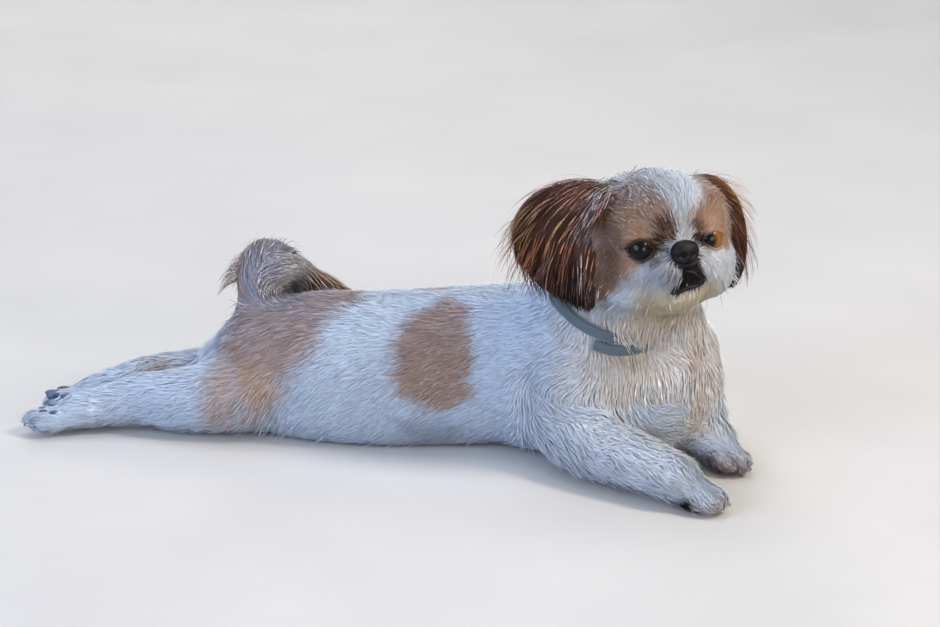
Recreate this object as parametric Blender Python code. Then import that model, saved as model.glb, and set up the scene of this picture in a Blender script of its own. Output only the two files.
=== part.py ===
"""A life-size shih tzu lying flat on its belly, forelegs out in front and hind legs straight out behind.

The body is modelled whole, to the tips of its coat: masses are lofted and rounded, fused into one surface,
set down on the floor and then parted by thin cuts into its named parts. The ears, the tail's plume, the
eyes, the nose, the pads, the claws and the collar are pieces of their own, let into the body with a fine gap.

Axes: +X runs from the tail to the chest, +Y is the animal's left, +Z is up. The floor is Z = 0.
"""

import math

import bmesh
import bpy
from mathutils import Euler, Matrix, Vector
from mathutils.bvhtree import BVHTree

CM = 0.01

# ------------------------------------------------------------------ driving dimensions
FOOTPRINT_MIDDLE = Vector((-0.0544, -0.0103, 0.0))   # moved to the origin at the end

GAP = 0.0003                  # clear space between neighbours
FUSE_VOXEL = 0.0030           # grain of the fused body before it is thinned out
HEAD_TRIANGLES = 900          # left on the head, the finest part, before pieces are let into it
BODY_TRIANGLES = 1750         # and on all the rest

HEAD_CENTRE = Vector((0.1720, -0.0230, 0.2090))
HEAD_TURN = math.radians(-49)     # it looks to its right
HEAD_LIFT = math.radians(3)
HEAD_TILT = math.radians(2)

EYE_RADIUS = 0.0112
EYE_PLACE = Vector((0.0352, 0.0305, 0.0))          # of the left one, from the head's centre
NOSE_PLACE = Vector((0.0540, 0.0, -0.0035))
NOSE_RADII = Vector((0.0085, 0.0122, 0.0100))

COLLAR_MIDDLE = Vector((0.1385, -0.0010, 0.1435))
COLLAR_NORMAL = Vector((0.30, -0.30, 1.0)).normalized()
COLLAR_WIDTH = 0.0100
COLLAR_THICK = 0.0024
COLLAR_STEPS = 28
COLLAR_BARE = Vector((-0.35, -0.94, 0.0))         # the side where the coat is parted over it
STRAP_END = [(12.8, -5.4, 11.6), (14.1, -5.1, 11.15), (15.6, -4.6, 11.05), (17.3, -4.0, 11.15)]   # centimetres

HEAD_CUT, HEAD_CUT_NORMAL = (0.0, 0.0, -5.5), (0.26, 0.0, 0.97)         # in the head's space
NECK_CUT, NECK_CUT_NORMAL = (14.0, 0.0, 12.3), (0.33, -0.25, 1.0)
TAIL_CUT = (-20.0, 2.6, 10.4), (-0.05, 0.0, 1.0), (7.0, 12.0, 6.0)          # point, normal, size

CLAW_LENGTH = 0.0075
CLAW_RADIUS = 0.0015


class Station:
    """One cross-section of a limb or of the trunk, in centimetres: middle, half width, half height, squareness."""

    def __init__(self, x, y, z, wide, high, square=2.0):
        self.values = (x * CM, y * CM, z * CM, wide * CM, high * CM, square)


# ------------------------------------------------------------------ the body's masses
TRUNK = [
    Station(-21.8, -0.6, 4.2, 4.6, 3.9, 2.1),
    Station(-19.4, -0.6, 4.8, 6.4, 5.4, 2.2),
    Station(-15.0, -0.4, 5.0, 7.2, 6.6, 2.3),
    Station(-9.0, 0.4, 5.0, 7.3, 7.0, 2.4),
    Station(-3.0, 1.8, 5.5, 6.9, 7.1, 2.4),
    Station(3.0, 2.8, 6.4, 6.9, 7.0, 2.3),
    Station(8.0, 2.4, 6.4, 7.6, 7.8, 2.2),
    Station(12.0, 1.9, 6.9, 7.4, 7.6, 2.1),
    Station(15.2, 1.1, 7.2, 6.6, 6.6, 2.0),
    Station(17.4, 0.4, 7.2, 5.0, 5.0, 2.0),
]
NECK = [
    Station(8.5, 1.8, 9.5, 6.4, 6.0),
    Station(11.5, 1.2, 12.0, 6.2, 5.8),
    Station(13.8, 0.0, 14.5, 5.9, 5.7),
    Station(15.4, -1.2, 17.0, 5.5, 5.3),
    Station(16.2, -1.8, 19.0, 5.0, 5.0),
]
FORELEG_RIGHT = [
    Station(11.4, -3.2, 8.4, 4.0, 4.6),
    Station(10.0, -3.2, 4.2, 3.6, 3.8),
    Station(13.4, -5.8, 3.1, 3.0, 3.0),
    Station(18.0, -7.8, 2.7, 2.5, 2.5),
    Station(21.6, -9.0, 2.3, 2.4, 2.1),
]
FORELEG_LEFT = [
    Station(16.4, 5.6, 8.6, 4.4, 4.4),
    Station(15.6, 7.2, 4.6, 4.0, 4.2),
    Station(17.6, 5.4, 3.3, 3.6, 3.3),
    Station(20.2, 2.6, 2.4, 2.6, 2.4),
    Station(21.6, 0.8, 1.9, 2.2, 1.8),
]
HINDLEG_RIGHT = [
    Station(-15.5, -2.6, 5.0, 5.0, 4.6),
    Station(-18.2, -4.4, 3.9, 4.4, 4.0),
    Station(-22.0, -5.8, 3.0, 3.6, 3.2),
    Station(-25.0, -6.9, 2.8, 2.9, 2.8),
    Station(-27.4, -7.4, 2.9, 2.1, 2.4),
    Station(-30.4, -8.7, 2.2, 1.8, 1.9),
    Station(-32.8, -10.0, 1.9, 1.9, 1.7),
]
HINDLEG_LEFT = [
    Station(-16.0, 3.4, 5.0, 4.8, 4.4),
    Station(-19.0, 3.6, 3.9, 4.2, 3.9),
    Station(-23.4, 1.5, 2.8, 3.3, 2.8),
    Station(-26.6, -0.7, 2.8, 2.7, 2.5),
    Station(-29.2, -2.5, 2.9, 2.0, 2.3),
    Station(-31.6, -4.5, 2.4, 1.8, 1.9),
    Station(-33.2, -6.2, 2.2, 1.9, 1.7),
]
TAIL = [
    Station(-18.8, -0.2, 8.6, 3.0, 2.8),
    Station(-19.8, 0.4, 11.0, 2.3, 2.2),
    Station(-20.1, 1.4, 12.8, 2.2, 2.1),
    Station(-20.0, 3.0, 13.4, 2.2, 1.9),
    Station(-19.6, 4.6, 12.7, 2.0, 1.7),
    Station(-19.2, 5.8, 11.4, 1.6, 1.4),
]

# ------------------------------------------------------------------ pieces of their own
PLUME = [          # the tail's long hair, fanned out over the left of the back
    Station(-19.0, 5.2, 12.4, 2.6, 0.9),
    Station(-18.9, 6.6, 11.2, 4.8, 1.0),
    Station(-18.4, 7.8, 9.2, 5.6, 1.0),
    Station(-18.0, 8.4, 7.2, 4.8, 0.7),
]
PLUME_ACROSS = ((1.0, 0.0, -0.12), (1.0, 0.0, -0.12))
TAIL_ACROSS = ((1.0, 0.0, 0.0), (1.0, 0.0, 0.0))
EAR_RIGHT = [      # in the head's space: leather and hair together, blown a little outwards
    Station(-1.4, -3.6, 4.1, 2.2, 1.0),
    Station(-1.8, -5.4, 3.8, 3.2, 1.3),
    Station(-2.1, -7.1, 2.4, 4.3, 1.8),
    Station(-1.9, -8.2, -0.2, 4.8, 2.0),
    Station(-1.3, -8.1, -2.5, 4.5, 1.8),
    Station(-0.9, -7.7, -3.8, 3.8, 1.3),
]
EAR_LEFT = [
    Station(-1.6, 3.8, 3.6, 1.8, 0.9),
    Station(-1.7, 5.0, 3.2, 2.7, 1.2),
    Station(-1.6, 6.2, 1.8, 3.4, 1.5),
    Station(-1.3, 7.0, -0.4, 3.6, 1.6),
    Station(-1.0, 7.0, -3.0, 3.4, 1.5),
    Station(-0.8, 6.6, -4.8, 2.6, 1.1),
]
EAR_RIGHT_ACROSS = ((0.88, 0.48, -0.13), (0.86, 0.44, -0.29))
EAR_LEFT_ACROSS = ((0.90, -0.43, 0.0), (0.90, -0.43, -0.10))


# ------------------------------------------------------------------ helpers
def clear_scene():
    for old in list(bpy.data.objects):
        bpy.data.objects.remove(old)


def add_object(name, mesh):
    made = bpy.data.objects.new(name, mesh)
    bpy.context.scene.collection.objects.link(made)
    return made


def mesh_from(work, name):
    bmesh.ops.recalc_face_normals(work, faces=work.faces)
    if work.calc_volume(signed=True) < 0:
        bmesh.ops.reverse_faces(work, faces=work.faces)
    bmesh.ops.triangulate(work, faces=work.faces)
    mesh = bpy.data.meshes.new(name)
    work.to_mesh(mesh)
    work.free()
    return mesh


def between(stations, steps):
    """Values along a smooth curve through the stations, by Catmull-Rom."""
    rows = [s.values for s in stations]
    rows = [rows[0], *rows, rows[-1]]
    found = []
    for i in range(1, len(rows) - 2):
        near = list(zip(rows[i - 1], rows[i], rows[i + 1], rows[i + 2]))
        for k in range(steps):
            t = k / steps
            found.append([
                0.5 * (2 * b + (c - a) * t + (2 * a - 5 * b + 4 * c - d) * t**2
                       + (3 * b - a - 3 * c + d) * t**3) for a, b, c, d in near])
    return [*found, rows[-1]]


def loft(name, stations, across=None, up=(0, 0, 1), sides=20, steps=4):
    """A closed tube through the stations, with rounded ends.

    Its width lies level, or turns from the first to the second of the directions in across.
    """
    rows = between(stations, steps)
    centres = [Vector(r[:3]) for r in rows]
    last = len(rows) - 1
    work = bmesh.new()
    rings = []

    def ring(i, centre, along, wide, high, square):
        side = Vector(up).cross(along).normalized()
        if across:
            side = Vector(across[0]).lerp(Vector(across[1]), i / last).normalized()
        top = along.cross(side).normalized()
        verts = []
        for k in range(sides):
            a = 2 * math.pi * k / sides
            c, s = math.cos(a), math.sin(a)
            outward = side * math.copysign(abs(c) ** (2 / square), c) * wide
            upward = top * math.copysign(abs(s) ** (2 / square), s) * high
            verts.append(work.verts.new(centre + outward + upward))
        edges = [work.edges.new((verts[k], verts[(k + 1) % sides])) for k in range(sides)]
        rings.append((edges, verts))

    for i, row in enumerate(rows):
        along = (centres[min(i + 1, last)] - centres[max(i - 1, 0)]).normalized()
        wide, high, square = row[3:]
        if i in (0, last):        # a rounded end in three shrinking rings
            out = -along if i == 0 else along
            bulge = 0.75 * min(wide, high)
            caps = [(0.97, 0.0), (0.80, 0.55), (0.42, 0.90)]
            for share, lift in (reversed(caps) if i == 0 else caps):
                ring(i, centres[i] + out * bulge * lift, along, wide * share, high * share, square)
        else:
            ring(i, centres[i], along, wide, high, square)
    for (here, _), (there, _) in zip(rings, rings[1:]):
        bmesh.ops.bridge_loops(work, edges=here + there)
    work.faces.new(rings[0][1])
    work.faces.new(rings[-1][1])
    return add_object(name, mesh_from(work, name))


def spin(turn):
    return Euler([math.radians(t) for t in turn]).to_matrix().to_4x4()


def ball(name, centre, radii, turn=(0, 0, 0), place=None, rounds=(24, 14)):
    """An ellipsoid of three radii, turned by Euler degrees, in the space of the matrix place.

    rounds are the meridians and parallels it is made of.
    """
    work = bmesh.new()
    bmesh.ops.create_uvsphere(work, u_segments=rounds[0], v_segments=rounds[1], radius=1.0)
    size = Matrix.Diagonal(Vector(radii)).to_4x4()
    work.transform((place or Matrix.Identity(4)) @ Matrix.Translation(centre) @ spin(turn) @ size)
    return add_object(name, mesh_from(work, name))


def block(name, point, normal, size, place=None, flare=1.0):
    """A box that stands on the point along the normal, its far end flare times as wide and high."""
    work = bmesh.new()
    bmesh.ops.create_cube(work, size=1.0)
    for vert in work.verts:
        if vert.co.z > 0:
            vert.co.xy *= flare
    lean = Vector(normal).to_track_quat("Z", "X").to_matrix().to_4x4()
    stretch = Matrix.Diagonal([s * CM for s in size]).to_4x4()
    lift = Matrix.Translation((0, 0, size[2] * CM / 2))
    point = Vector(point) * CM
    work.transform((place or Matrix.Identity(4)) @ Matrix.Translation(point) @ lean @ lift @ stretch)
    return add_object(name, mesh_from(work, name))


def apply_modifier(obj, kind, **settings):
    made = obj.modifiers.new(kind.title(), kind)
    for key, value in settings.items():
        setattr(made, key, value)
    shaped = bpy.data.meshes.new_from_object(obj.evaluated_get(bpy.context.evaluated_depsgraph_get()))
    obj.modifiers.clear()
    obj.data = shaped


def join(name, pieces):
    """The pieces' meshes in one object. They cross until a Remesh fuses them."""
    work = bmesh.new()
    for piece in pieces:
        work.from_mesh(piece.data)
        bpy.data.objects.remove(piece)
    return add_object(name, mesh_from(work, name))


def keep_largest(obj):
    """Drops the crumbs that a cut can leave beside the piece."""
    work = bmesh.new()
    work.from_mesh(obj.data)
    left, groups = set(work.verts), []
    while left:
        stack, group = [left.pop()], []
        while stack:
            vert = stack.pop()
            group.append(vert)
            for edge in vert.link_edges:
                other = edge.other_vert(vert)
                if other in left:
                    left.remove(other)
                    stack.append(other)
        groups.append(group)
    groups.sort(key=len, reverse=True)
    bmesh.ops.delete(work, geom=[v for g in groups[1:] for v in g], context="VERTS")
    work.to_mesh(obj.data)
    work.free()


def carve(obj, other, operation="DIFFERENCE"):
    apply_modifier(obj, "BOOLEAN", operation=operation, object=other, solver="EXACT")
    bpy.data.objects.remove(other)
    keep_largest(obj)


def swell(obj, by):
    """Moves the whole surface outwards by an even distance."""
    work = bmesh.new()
    work.from_mesh(obj.data)
    work.normal_update()
    moves = [vert.normal * vert.calc_shell_factor() * by for vert in work.verts]
    for vert, move in zip(work.verts, moves):
        vert.co += move
    work.to_mesh(obj.data)
    work.free()
    return obj


def copy_of(obj, name):
    return add_object(name, obj.data.copy())


def let_in(body, *pieces):
    """Cuts the body clear of each piece by the gap."""
    for piece in pieces:
        carve(body, swell(copy_of(piece, "clearance"), GAP))


def take(body, name, envelope):
    """Parts off what lies inside the envelope, with the gap between the two."""
    piece = copy_of(body, name)
    carve(piece, copy_of(envelope, "envelope"), "INTERSECT")
    carve(body, swell(envelope, GAP))
    return piece


# ------------------------------------------------------------------ masses
def toes(name, root, tip, spread, size, count=4):
    """A fan of rounded toes from the root of the paw to its tip, the middle pair leading."""
    root, tip = Vector(root) * CM, Vector(tip) * CM
    heading = math.degrees(math.atan2(tip.y - root.y, tip.x - root.x))
    found = []
    for k in range(count):
        share = 2 * k / (count - 1) - 1
        fan = Matrix.Rotation(math.radians(-share * spread), 3, "Z")
        reach = 0.66 - 0.13 * share**2
        centre = root + fan @ (tip - root) * reach
        found.append((f"{name}_{k + 1}", centre, heading - share * spread, [s * CM for s in size]))
    return found


PAWS = {
    "fore_right": toes("fore_right", (20.2, -8.7, 1.3), (26.1, -10.0, 1.0), 18, (2.1, 0.95, 1.3)),
    "fore_left": toes("fore_left", (20.2, 2.0, 1.2), (25.3, -1.4, 0.9), 18, (2.0, 0.9, 1.2)),
    "hind_right": toes("hind_right", (-31.2, -9.4, 1.5), (-37.2, -12.5, 1.3), 14, (1.9, 0.82, 1.25)),
    "hind_left": toes("hind_left", (-31.6, -4.9, 1.9), (-37.3, -8.7, 1.6), 12, (1.9, 0.8, 1.3)),
}


LIMBS = {          # where each leg's box begins and ends, its height, width and flare, and where the paw begins
    "fore_right": ((7.0, -1.6, 3.8), (27.0, -10.4, 2.2), (8.6, 9.0), 0.92, (21.0, -8.9)),
    "fore_left": ((12.9, 10.1, 3.8), (25.6, -2.8, 1.8), (7.6, 9.6), 0.70, (21.2, 1.4)),
    "hind_right": ((-19.0, -4.4, 3.4), (-37.5, -12.6, 1.7), (9.2, 8.8), 0.62, (-31.6, -9.4)),
    "hind_left": ((-19.6, 3.4, 3.4), (-37.4, -8.8, 2.0), (9.2, 8.8), 0.66, (-32.0, -5.2)),
}


def head_place():
    turn = Euler((HEAD_TILT, -HEAD_LIFT, HEAD_TURN)).to_matrix().to_4x4()
    return Matrix.Translation(HEAD_CENTRE) @ turn


def head_masses(place):
    """Skull, brow, cheeks, muzzle and chin as rounded masses in the head's own space."""
    def part(name, centre, radii, turn=(0, 0, 0)):
        return ball(name, Vector(centre) * CM, [r * CM for r in radii], turn, place)

    masses = [
        part("skull", (-0.8, 0, 0.6), (5.2, 5.3, 4.8)),
        part("crown", (-0.6, 0, 3.0), (3.8, 4.4, 2.4)),
        part("nape", (-3.2, 0, -2.0), (3.4, 4.6, 4.4)),
        part("brow", (1.9, 0, 1.9), (2.8, 3.9, 2.8)),
        part("bridge", (3.3, 0, -0.1), (1.7, 1.5, 1.5)),
        part("muzzle", (3.7, 0, -2.3), (2.1, 2.8, 2.1)),
        part("chin", (3.6, 0, -4.3), (1.9, 2.1, 1.5)),
        part("throat", (0.4, 0, -4.0), (4.0, 4.3, 2.9)),
    ]
    for side in (-1, 1):
        masses.append(part("temple", (0.9, 3.3 * side, 1.2), (3.0, 2.3, 3.0)))
        masses.append(part("orbit", (2.5, 3.1 * side, 0.15), (1.95, 2.0, 1.9)))
        masses.append(part("cheek", (1.7, 3.2 * side, -2.7), (2.9, 2.8, 3.1)))
        masses.append(part("lip", (4.2, 1.5 * side, -2.1), (1.8, 1.7, 1.5)))
        masses.append(part("under_eye", (3.2, 2.9 * side, -1.9), (1.4, 1.9, 1.4)))
    return masses


def body_masses(place):
    masses = [
        loft("trunk", TRUNK, sides=28),
        loft("neck", NECK, up=(-1, 0, 1)),
        loft("tail", TAIL, across=TAIL_ACROSS),
        ball("breast", Vector((15.6, 3.0, 7.6)) * CM, [5.2 * CM, 6.4 * CM, 5.8 * CM], (0, 0, -20)),
        ball("bib", Vector((17.6, 1.6, 6.0)) * CM, [3.8 * CM, 5.8 * CM, 5.0 * CM], (0, 0, -20)),
        ball("ruff", Vector((16.0, 1.2, 12.0)) * CM, [4.7 * CM, 5.2 * CM, 3.8 * CM], (0, 12, 0)),
        loft("foreleg_right", FORELEG_RIGHT),
        loft("foreleg_left", FORELEG_LEFT),
        loft("hindleg_right", HINDLEG_RIGHT),
        loft("hindleg_left", HINDLEG_LEFT),
    ]
    for paw in PAWS.values():
        masses += [ball(name, centre, size, (0, 0, heading)) for name, centre, heading, size in paw]
    return masses + head_masses(place)


def thin_out(obj, triangles):
    now = sum(len(f.vertices) - 2 for f in obj.data.polygons)
    apply_modifier(obj, "DECIMATE", ratio=triangles / now)


# ------------------------------------------------------------------ pieces let into the body
def ear(name, stations, across, place):
    made = loft(name, stations, across=across, sides=10, steps=2)
    made.data.transform(place)
    return made


def eye(name, side, place):
    centre = Vector((EYE_PLACE.x, side * EYE_PLACE.y, EYE_PLACE.z))
    return ball(name, centre, [EYE_RADIUS] * 3, (0, 90, 0), place, rounds=(12, 6))


def sole_pads(paw):
    """The pads on an upturned sole: one for each toe and a large one behind them."""
    found = []
    for name, centre, heading, size in paw:
        spot = centre + Vector((0, 0, size[2] * 0.92))
        found.append(ball(f"pad_{name}", spot, [0.0050, 0.0031, 0.0024], (0, 0, heading), rounds=(8, 3)))
    middle = (paw[1][1] + paw[2][1]) / 2
    heading = (paw[1][2] + paw[2][2]) / 2
    back = Vector((math.cos(math.radians(heading)), math.sin(math.radians(heading)), 0))
    name = paw[0][0].rsplit("_", 1)[0]
    found.append(ball(f"pad_{name}_large", middle - back * 0.0195 + Vector((0, 0, 0.0128)),
                      [0.0072, 0.0088, 0.0030], (0, 0, heading), rounds=(8, 3)))
    return found


def claw(name, centre, heading, size):
    """A short curved claw at the tip of a toe."""
    ahead = Vector((math.cos(math.radians(heading)), math.sin(math.radians(heading)), 0))
    root = centre + ahead * (size[0] * 0.80) + Vector((0, 0, -0.001))
    work = bmesh.new()
    rings = []
    for share, drop in ((0.0, 0.0), (0.55, 0.0006), (0.95, 0.0026)):
        radius = CLAW_RADIUS * (1 - 0.62 * share)
        spot = root + ahead * CLAW_LENGTH * share
        side = Vector((0, 0, 1)).cross(ahead)
        ring = []
        for k in range(4):
            a = math.pi * k / 2
            offset = side * math.cos(a) * radius + Vector((0, 0, math.sin(a) * radius * 1.2))
            ring.append(work.verts.new(spot - Vector((0, 0, drop)) + offset))
        rings.append(ring)
    for here, there in zip(rings, rings[1:]):
        for k in range(4):
            work.faces.new((here[k], here[(k + 1) % 4], there[(k + 1) % 4], there[k]))
    work.faces.new(rings[0])
    work.faces.new(rings[-1])
    return add_object(name, mesh_from(work, name))


def collar_path(body):
    """Points round the neck in the collar's plane: sunk in the coat, except on the side where it is parted."""
    tree = BVHTree.FromObject(body, bpy.context.evaluated_depsgraph_get())
    first = Vector((1, 0, 0)).cross(COLLAR_NORMAL).normalized()
    second = COLLAR_NORMAL.cross(first).normalized()
    aims, reaches = [], []
    for k in range(COLLAR_STEPS):
        a = 2 * math.pi * k / COLLAR_STEPS
        aims.append(first * math.cos(a) + second * math.sin(a))
        reaches.append(tree.ray_cast(COLLAR_MIDDLE, aims[-1])[3])
    for _ in range(6):
        reaches = [(reaches[k - 1] + 2 * reaches[k] + reaches[(k + 1) % COLLAR_STEPS]) / 4
                   for k in range(COLLAR_STEPS)]
    path = []
    for aim, reach in zip(aims, reaches):
        hidden = min(1.0, max(0.0, (0.80 - aim.dot(COLLAR_BARE)) / 0.4))
        path.append(COLLAR_MIDDLE + aim * (reach + 0.0010 - 0.0060 * hidden))
    return path


def strap(name, points, closed):
    """A flat strap along the points, standing on edge round COLLAR_MIDDLE."""
    work = bmesh.new()
    rings = []
    count = len(points)
    for k, point in enumerate(points):
        before = points[k - 1] if closed or k else point
        after = points[(k + 1) % count] if closed or k < count - 1 else point
        along = (after - before).normalized()
        out = along.cross(COLLAR_NORMAL).normalized()
        if out.dot(point - COLLAR_MIDDLE) < 0:
            out = -out
        edge, face = COLLAR_NORMAL * COLLAR_WIDTH / 2, out * COLLAR_THICK / 2
        rings.append([work.verts.new(point + u * edge + v * face) for u, v in ((1, 1), (1, -1), (-1, -1), (-1, 1))])
    pairs = list(zip(rings, rings[1:] + rings[:1])) if closed else list(zip(rings, rings[1:]))
    for here, there in pairs:
        for k in range(4):
            work.faces.new((here[k], here[(k + 1) % 4], there[(k + 1) % 4], there[k]))
    if not closed:
        work.faces.new(rings[0])
        work.faces.new(rings[-1])
    return add_object(name, mesh_from(work, name))


# ------------------------------------------------------------------ parting the body
def part_head(dense, place):
    """The head and the rest of the body, thinned out each to its own grain and cut to one plane between them."""
    def above(by):
        return swell(block("above_neck", HEAD_CUT, HEAD_CUT_NORMAL, (20, 22, 20), place), by)

    head = copy_of(dense, "head")
    carve(head, above(0.006), "INTERSECT")
    thin_out(head, HEAD_TRIANGLES)
    carve(head, above(0.0), "INTERSECT")
    carve(dense, above(-0.006))
    thin_out(dense, BODY_TRIANGLES)
    carve(dense, above(GAP))
    return head


def part_body(body):
    """Neck, tail, legs and paws, each taken off the body. What is left is the trunk."""
    take(body, "neck", block("above_chest", NECK_CUT, NECK_CUT_NORMAL, (24, 24, 12)))
    take(body, "tail", block("above_rump", *TAIL_CUT))
    for side, (start, end, section, flare, wrist) in LIMBS.items():
        ahead = Vector(end) - Vector(start)
        reach = (*section, ahead.length + 2)
        leg = take(body, side.replace("_", "leg_"), block("round_leg", start, ahead, reach, flare=flare))
        ahead.z = 0
        take(leg, side.replace("_", "paw_"), block("past_wrist", (*wrist, 1.5), ahead, (12, 12, 9)))
    body.name = "trunk"


# ------------------------------------------------------------------ finishes
FINISHES = {                  # by the first word of the node's name: colour and roughness
    "ear": ("#6B4A35", 0.85),
    "tail": ("#8C8078", 0.85),
    "eye": ("#1B110C", 0.08),
    "nose": ("#0F0E10", 0.45),
    "pad": ("#2A2628", 0.70),
    "claw": ("#2E2A28", 0.40),
    "collar": ("#53667D", 0.65),
}
COAT_FINISH = ("#E6E3E0", 0.85)


def linear(code):
    """An sRGB hex code as linear red, green, blue and alpha."""
    parts = [int(code[i:i + 2], 16) / 255 for i in (1, 3, 5)]
    return [*(v / 12.92 if v <= 0.04045 else ((v + 0.055) / 1.055) ** 2.4 for v in parts), 1.0]


def finish(obj):
    colour, roughness = FINISHES.get(obj.name.split("_")[0], COAT_FINISH)
    made = bpy.data.materials.new(obj.name)
    made.use_nodes = True
    shader = made.node_tree.nodes["Principled BSDF"]
    shader.inputs["Base Color"].default_value = linear(colour)
    shader.inputs["Roughness"].default_value = roughness
    obj.data.materials.clear()
    obj.data.materials.append(made)


def build():
    clear_scene()
    place = head_place()
    body = join("body", body_masses(place))
    apply_modifier(body, "REMESH", mode="VOXEL", voxel_size=FUSE_VOXEL)
    apply_modifier(body, "SMOOTH", factor=0.5, iterations=10)
    ring = collar_path(body)
    head = part_head(body, place)
    carve(body, block("under_floor", (0, 0, 0), (0, 0, -1), (100, 100, 10)))

    ears = [ear("ear_right", EAR_RIGHT, EAR_RIGHT_ACROSS, place), ear("ear_left", EAR_LEFT, EAR_LEFT_ACROSS, place)]
    let_in(body, *ears)
    let_in(head, *ears, eye("eye_right", -1, place), eye("eye_left", 1, place),
           ball("nose", NOSE_PLACE, NOSE_RADII, (0, 90, 0), place, rounds=(12, 6)))
    let_in(body, loft("tail_plume", PLUME, PLUME_ACROSS, sides=10, steps=2),
           strap("collar", ring, True), strap("collar_end", [Vector(p) * CM for p in STRAP_END], False))
    for side in ("hind_right", "hind_left"):
        let_in(body, *sole_pads(PAWS[side]))
    for paw in PAWS.values():
        let_in(body, *(claw(f"claw_{name}", centre, heading, size) for name, centre, heading, size in paw))
    part_body(body)
    for made in bpy.data.objects:
        made.data.transform(Matrix.Translation(-FOOTPRINT_MIDDLE))
        finish(made)


build()
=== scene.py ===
import math

import bmesh
import bpy
import numpy as np
from bpy.props import FloatProperty, FloatVectorProperty, PointerProperty
from mathutils import Euler, Matrix, Vector
from mathutils.bvhtree import BVHTree


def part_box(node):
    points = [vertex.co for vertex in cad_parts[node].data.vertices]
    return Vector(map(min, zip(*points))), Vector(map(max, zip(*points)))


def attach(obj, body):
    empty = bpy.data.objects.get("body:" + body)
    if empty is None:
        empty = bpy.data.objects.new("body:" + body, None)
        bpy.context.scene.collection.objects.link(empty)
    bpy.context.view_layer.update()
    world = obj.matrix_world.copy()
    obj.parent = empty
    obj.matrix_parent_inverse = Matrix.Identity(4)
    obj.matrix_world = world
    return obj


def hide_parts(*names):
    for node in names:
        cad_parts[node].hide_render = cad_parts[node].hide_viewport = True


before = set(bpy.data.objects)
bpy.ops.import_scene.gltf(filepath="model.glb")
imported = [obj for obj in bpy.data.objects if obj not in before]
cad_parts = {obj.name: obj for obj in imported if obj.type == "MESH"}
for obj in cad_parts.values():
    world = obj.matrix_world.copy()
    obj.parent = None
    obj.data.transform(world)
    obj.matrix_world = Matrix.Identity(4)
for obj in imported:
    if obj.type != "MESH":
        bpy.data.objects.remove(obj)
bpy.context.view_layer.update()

bl_info = {
    "name": "Lying shih tzu",
    "version": (1, 0, 0),
    "blender": (4, 5, 0),
    "location": "View3D > Sidebar > Dog",
    "description": "A life-size shih tzu lying on its belly: skin, coat, eyes, nose, claws, pads and collar",
    "category": "Object",
}

MM = 0.001
CM = 0.01
RANDOM = 20                                   # every random draw starts from this
CELL_CODE = np.array([1, 4001, 16008001])     # makes one number of a cell's three
LOCK = 4.2 * MM                               # strands that root this close together draw into one lock
BAKE_PATCH = 0.0014                           # half the side of each strand's own patch of OFBake
TAPER = (0, 0.3, 0.7, 1), (0.6, 1.0, 0.75, 0.2)      # how far along a strand it has which share of its width
EYE_RADIUS = 0.0112
FOCUS = Vector((0.0544, 0.0103, 0.114))       # the camera and lights look here
CAMERA_TURN, CAMERA_RISE = math.radians(20), math.radians(18)
LIGHTS = (      # name, place, width, power and colour
    ("key", (1.9, -0.15, 2.1), 0.6, 56, "#FFF1E0"),
    ("fill", (-1.5, -2.7, 1.2), 2.4, 108, "#CBDDFF"),
    ("front", (2.6, -1.9, 0.9), 1.8, 60, "#FFF1E0"),
    ("top", (-0.4, 0.6, 2.9), 2.2, 50, "#E6EEFF"),
    ("rim", (-1.4, 2.4, 1.6), 1.4, 30, "#FFF3E4"),
)

# The head's own space: x out of the nose, y to the dog's left, z up, from the middle of the skull.
HEAD = Matrix.Translation((0.2264, -0.0127, 0.2090)) @ Euler(
    (math.radians(2), math.radians(-3), math.radians(-49))).to_matrix().to_4x4()
HEAD_TURN = np.array(HEAD.to_3x3())
HEAD_MIDDLE = np.array(HEAD.translation)
NOSE = (np.array([5.40, 0.0, -0.35]), np.array([0.85, 1.22, 1.00]))      # its middle and half sizes there, in cm

COLLAR_MIDDLE = np.array([0.1929, 0.0093, 0.1435])
STRAP_SHOWS = 0.197      # the coat covers the collar beyond this x, towards the chest
END_SHOWS = 0.206        # and its loose end beyond this one

FLESH = ("head", "neck", "trunk", "tail", "tail_plume", "ear_right", "ear_left",
         "foreleg_right", "foreleg_left", "forepaw_right", "forepaw_left",
         "hindleg_right", "hindleg_left", "hindpaw_right", "hindpaw_left")
PAWS = ("fore_right", "fore_left", "hind_right", "hind_left")
PADS = (1, 2, 3, 4, "large")      # of each hind sole

# How deep the skin lies under the coat's outline in each part, and how long and wide the strands are there, all
# in millimetres, then how curly and how clumped they are.
COAT = {
    "head":      (3.6, 15.0, 0.92, 0.20, 0.30),
    "neck":      (5.0, 22.0, 1.12, 0.35, 0.42),
    "trunk":     (4.4, 18.0, 1.12, 0.14, 0.14),
    "tail":      (6.5, 34.0, 1.20, 0.25, 0.45),
    "tail_plume": (5.5, 44.0, 1.30, 0.30, 0.55),
    "ear":       (5.5, 46.0, 0.96, 0.12, 0.24),
    "foreleg":   (5.4, 21.0, 1.08, 0.50, 0.42),
    "forepaw":   (3.4, 13.0, 1.05, 0.50, 0.55),
    "hindleg":   (4.4, 17.0, 1.20, 0.30, 0.25),
    "hindpaw":   (3.0, 11.0, 1.00, 0.35, 0.35),
}

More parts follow.
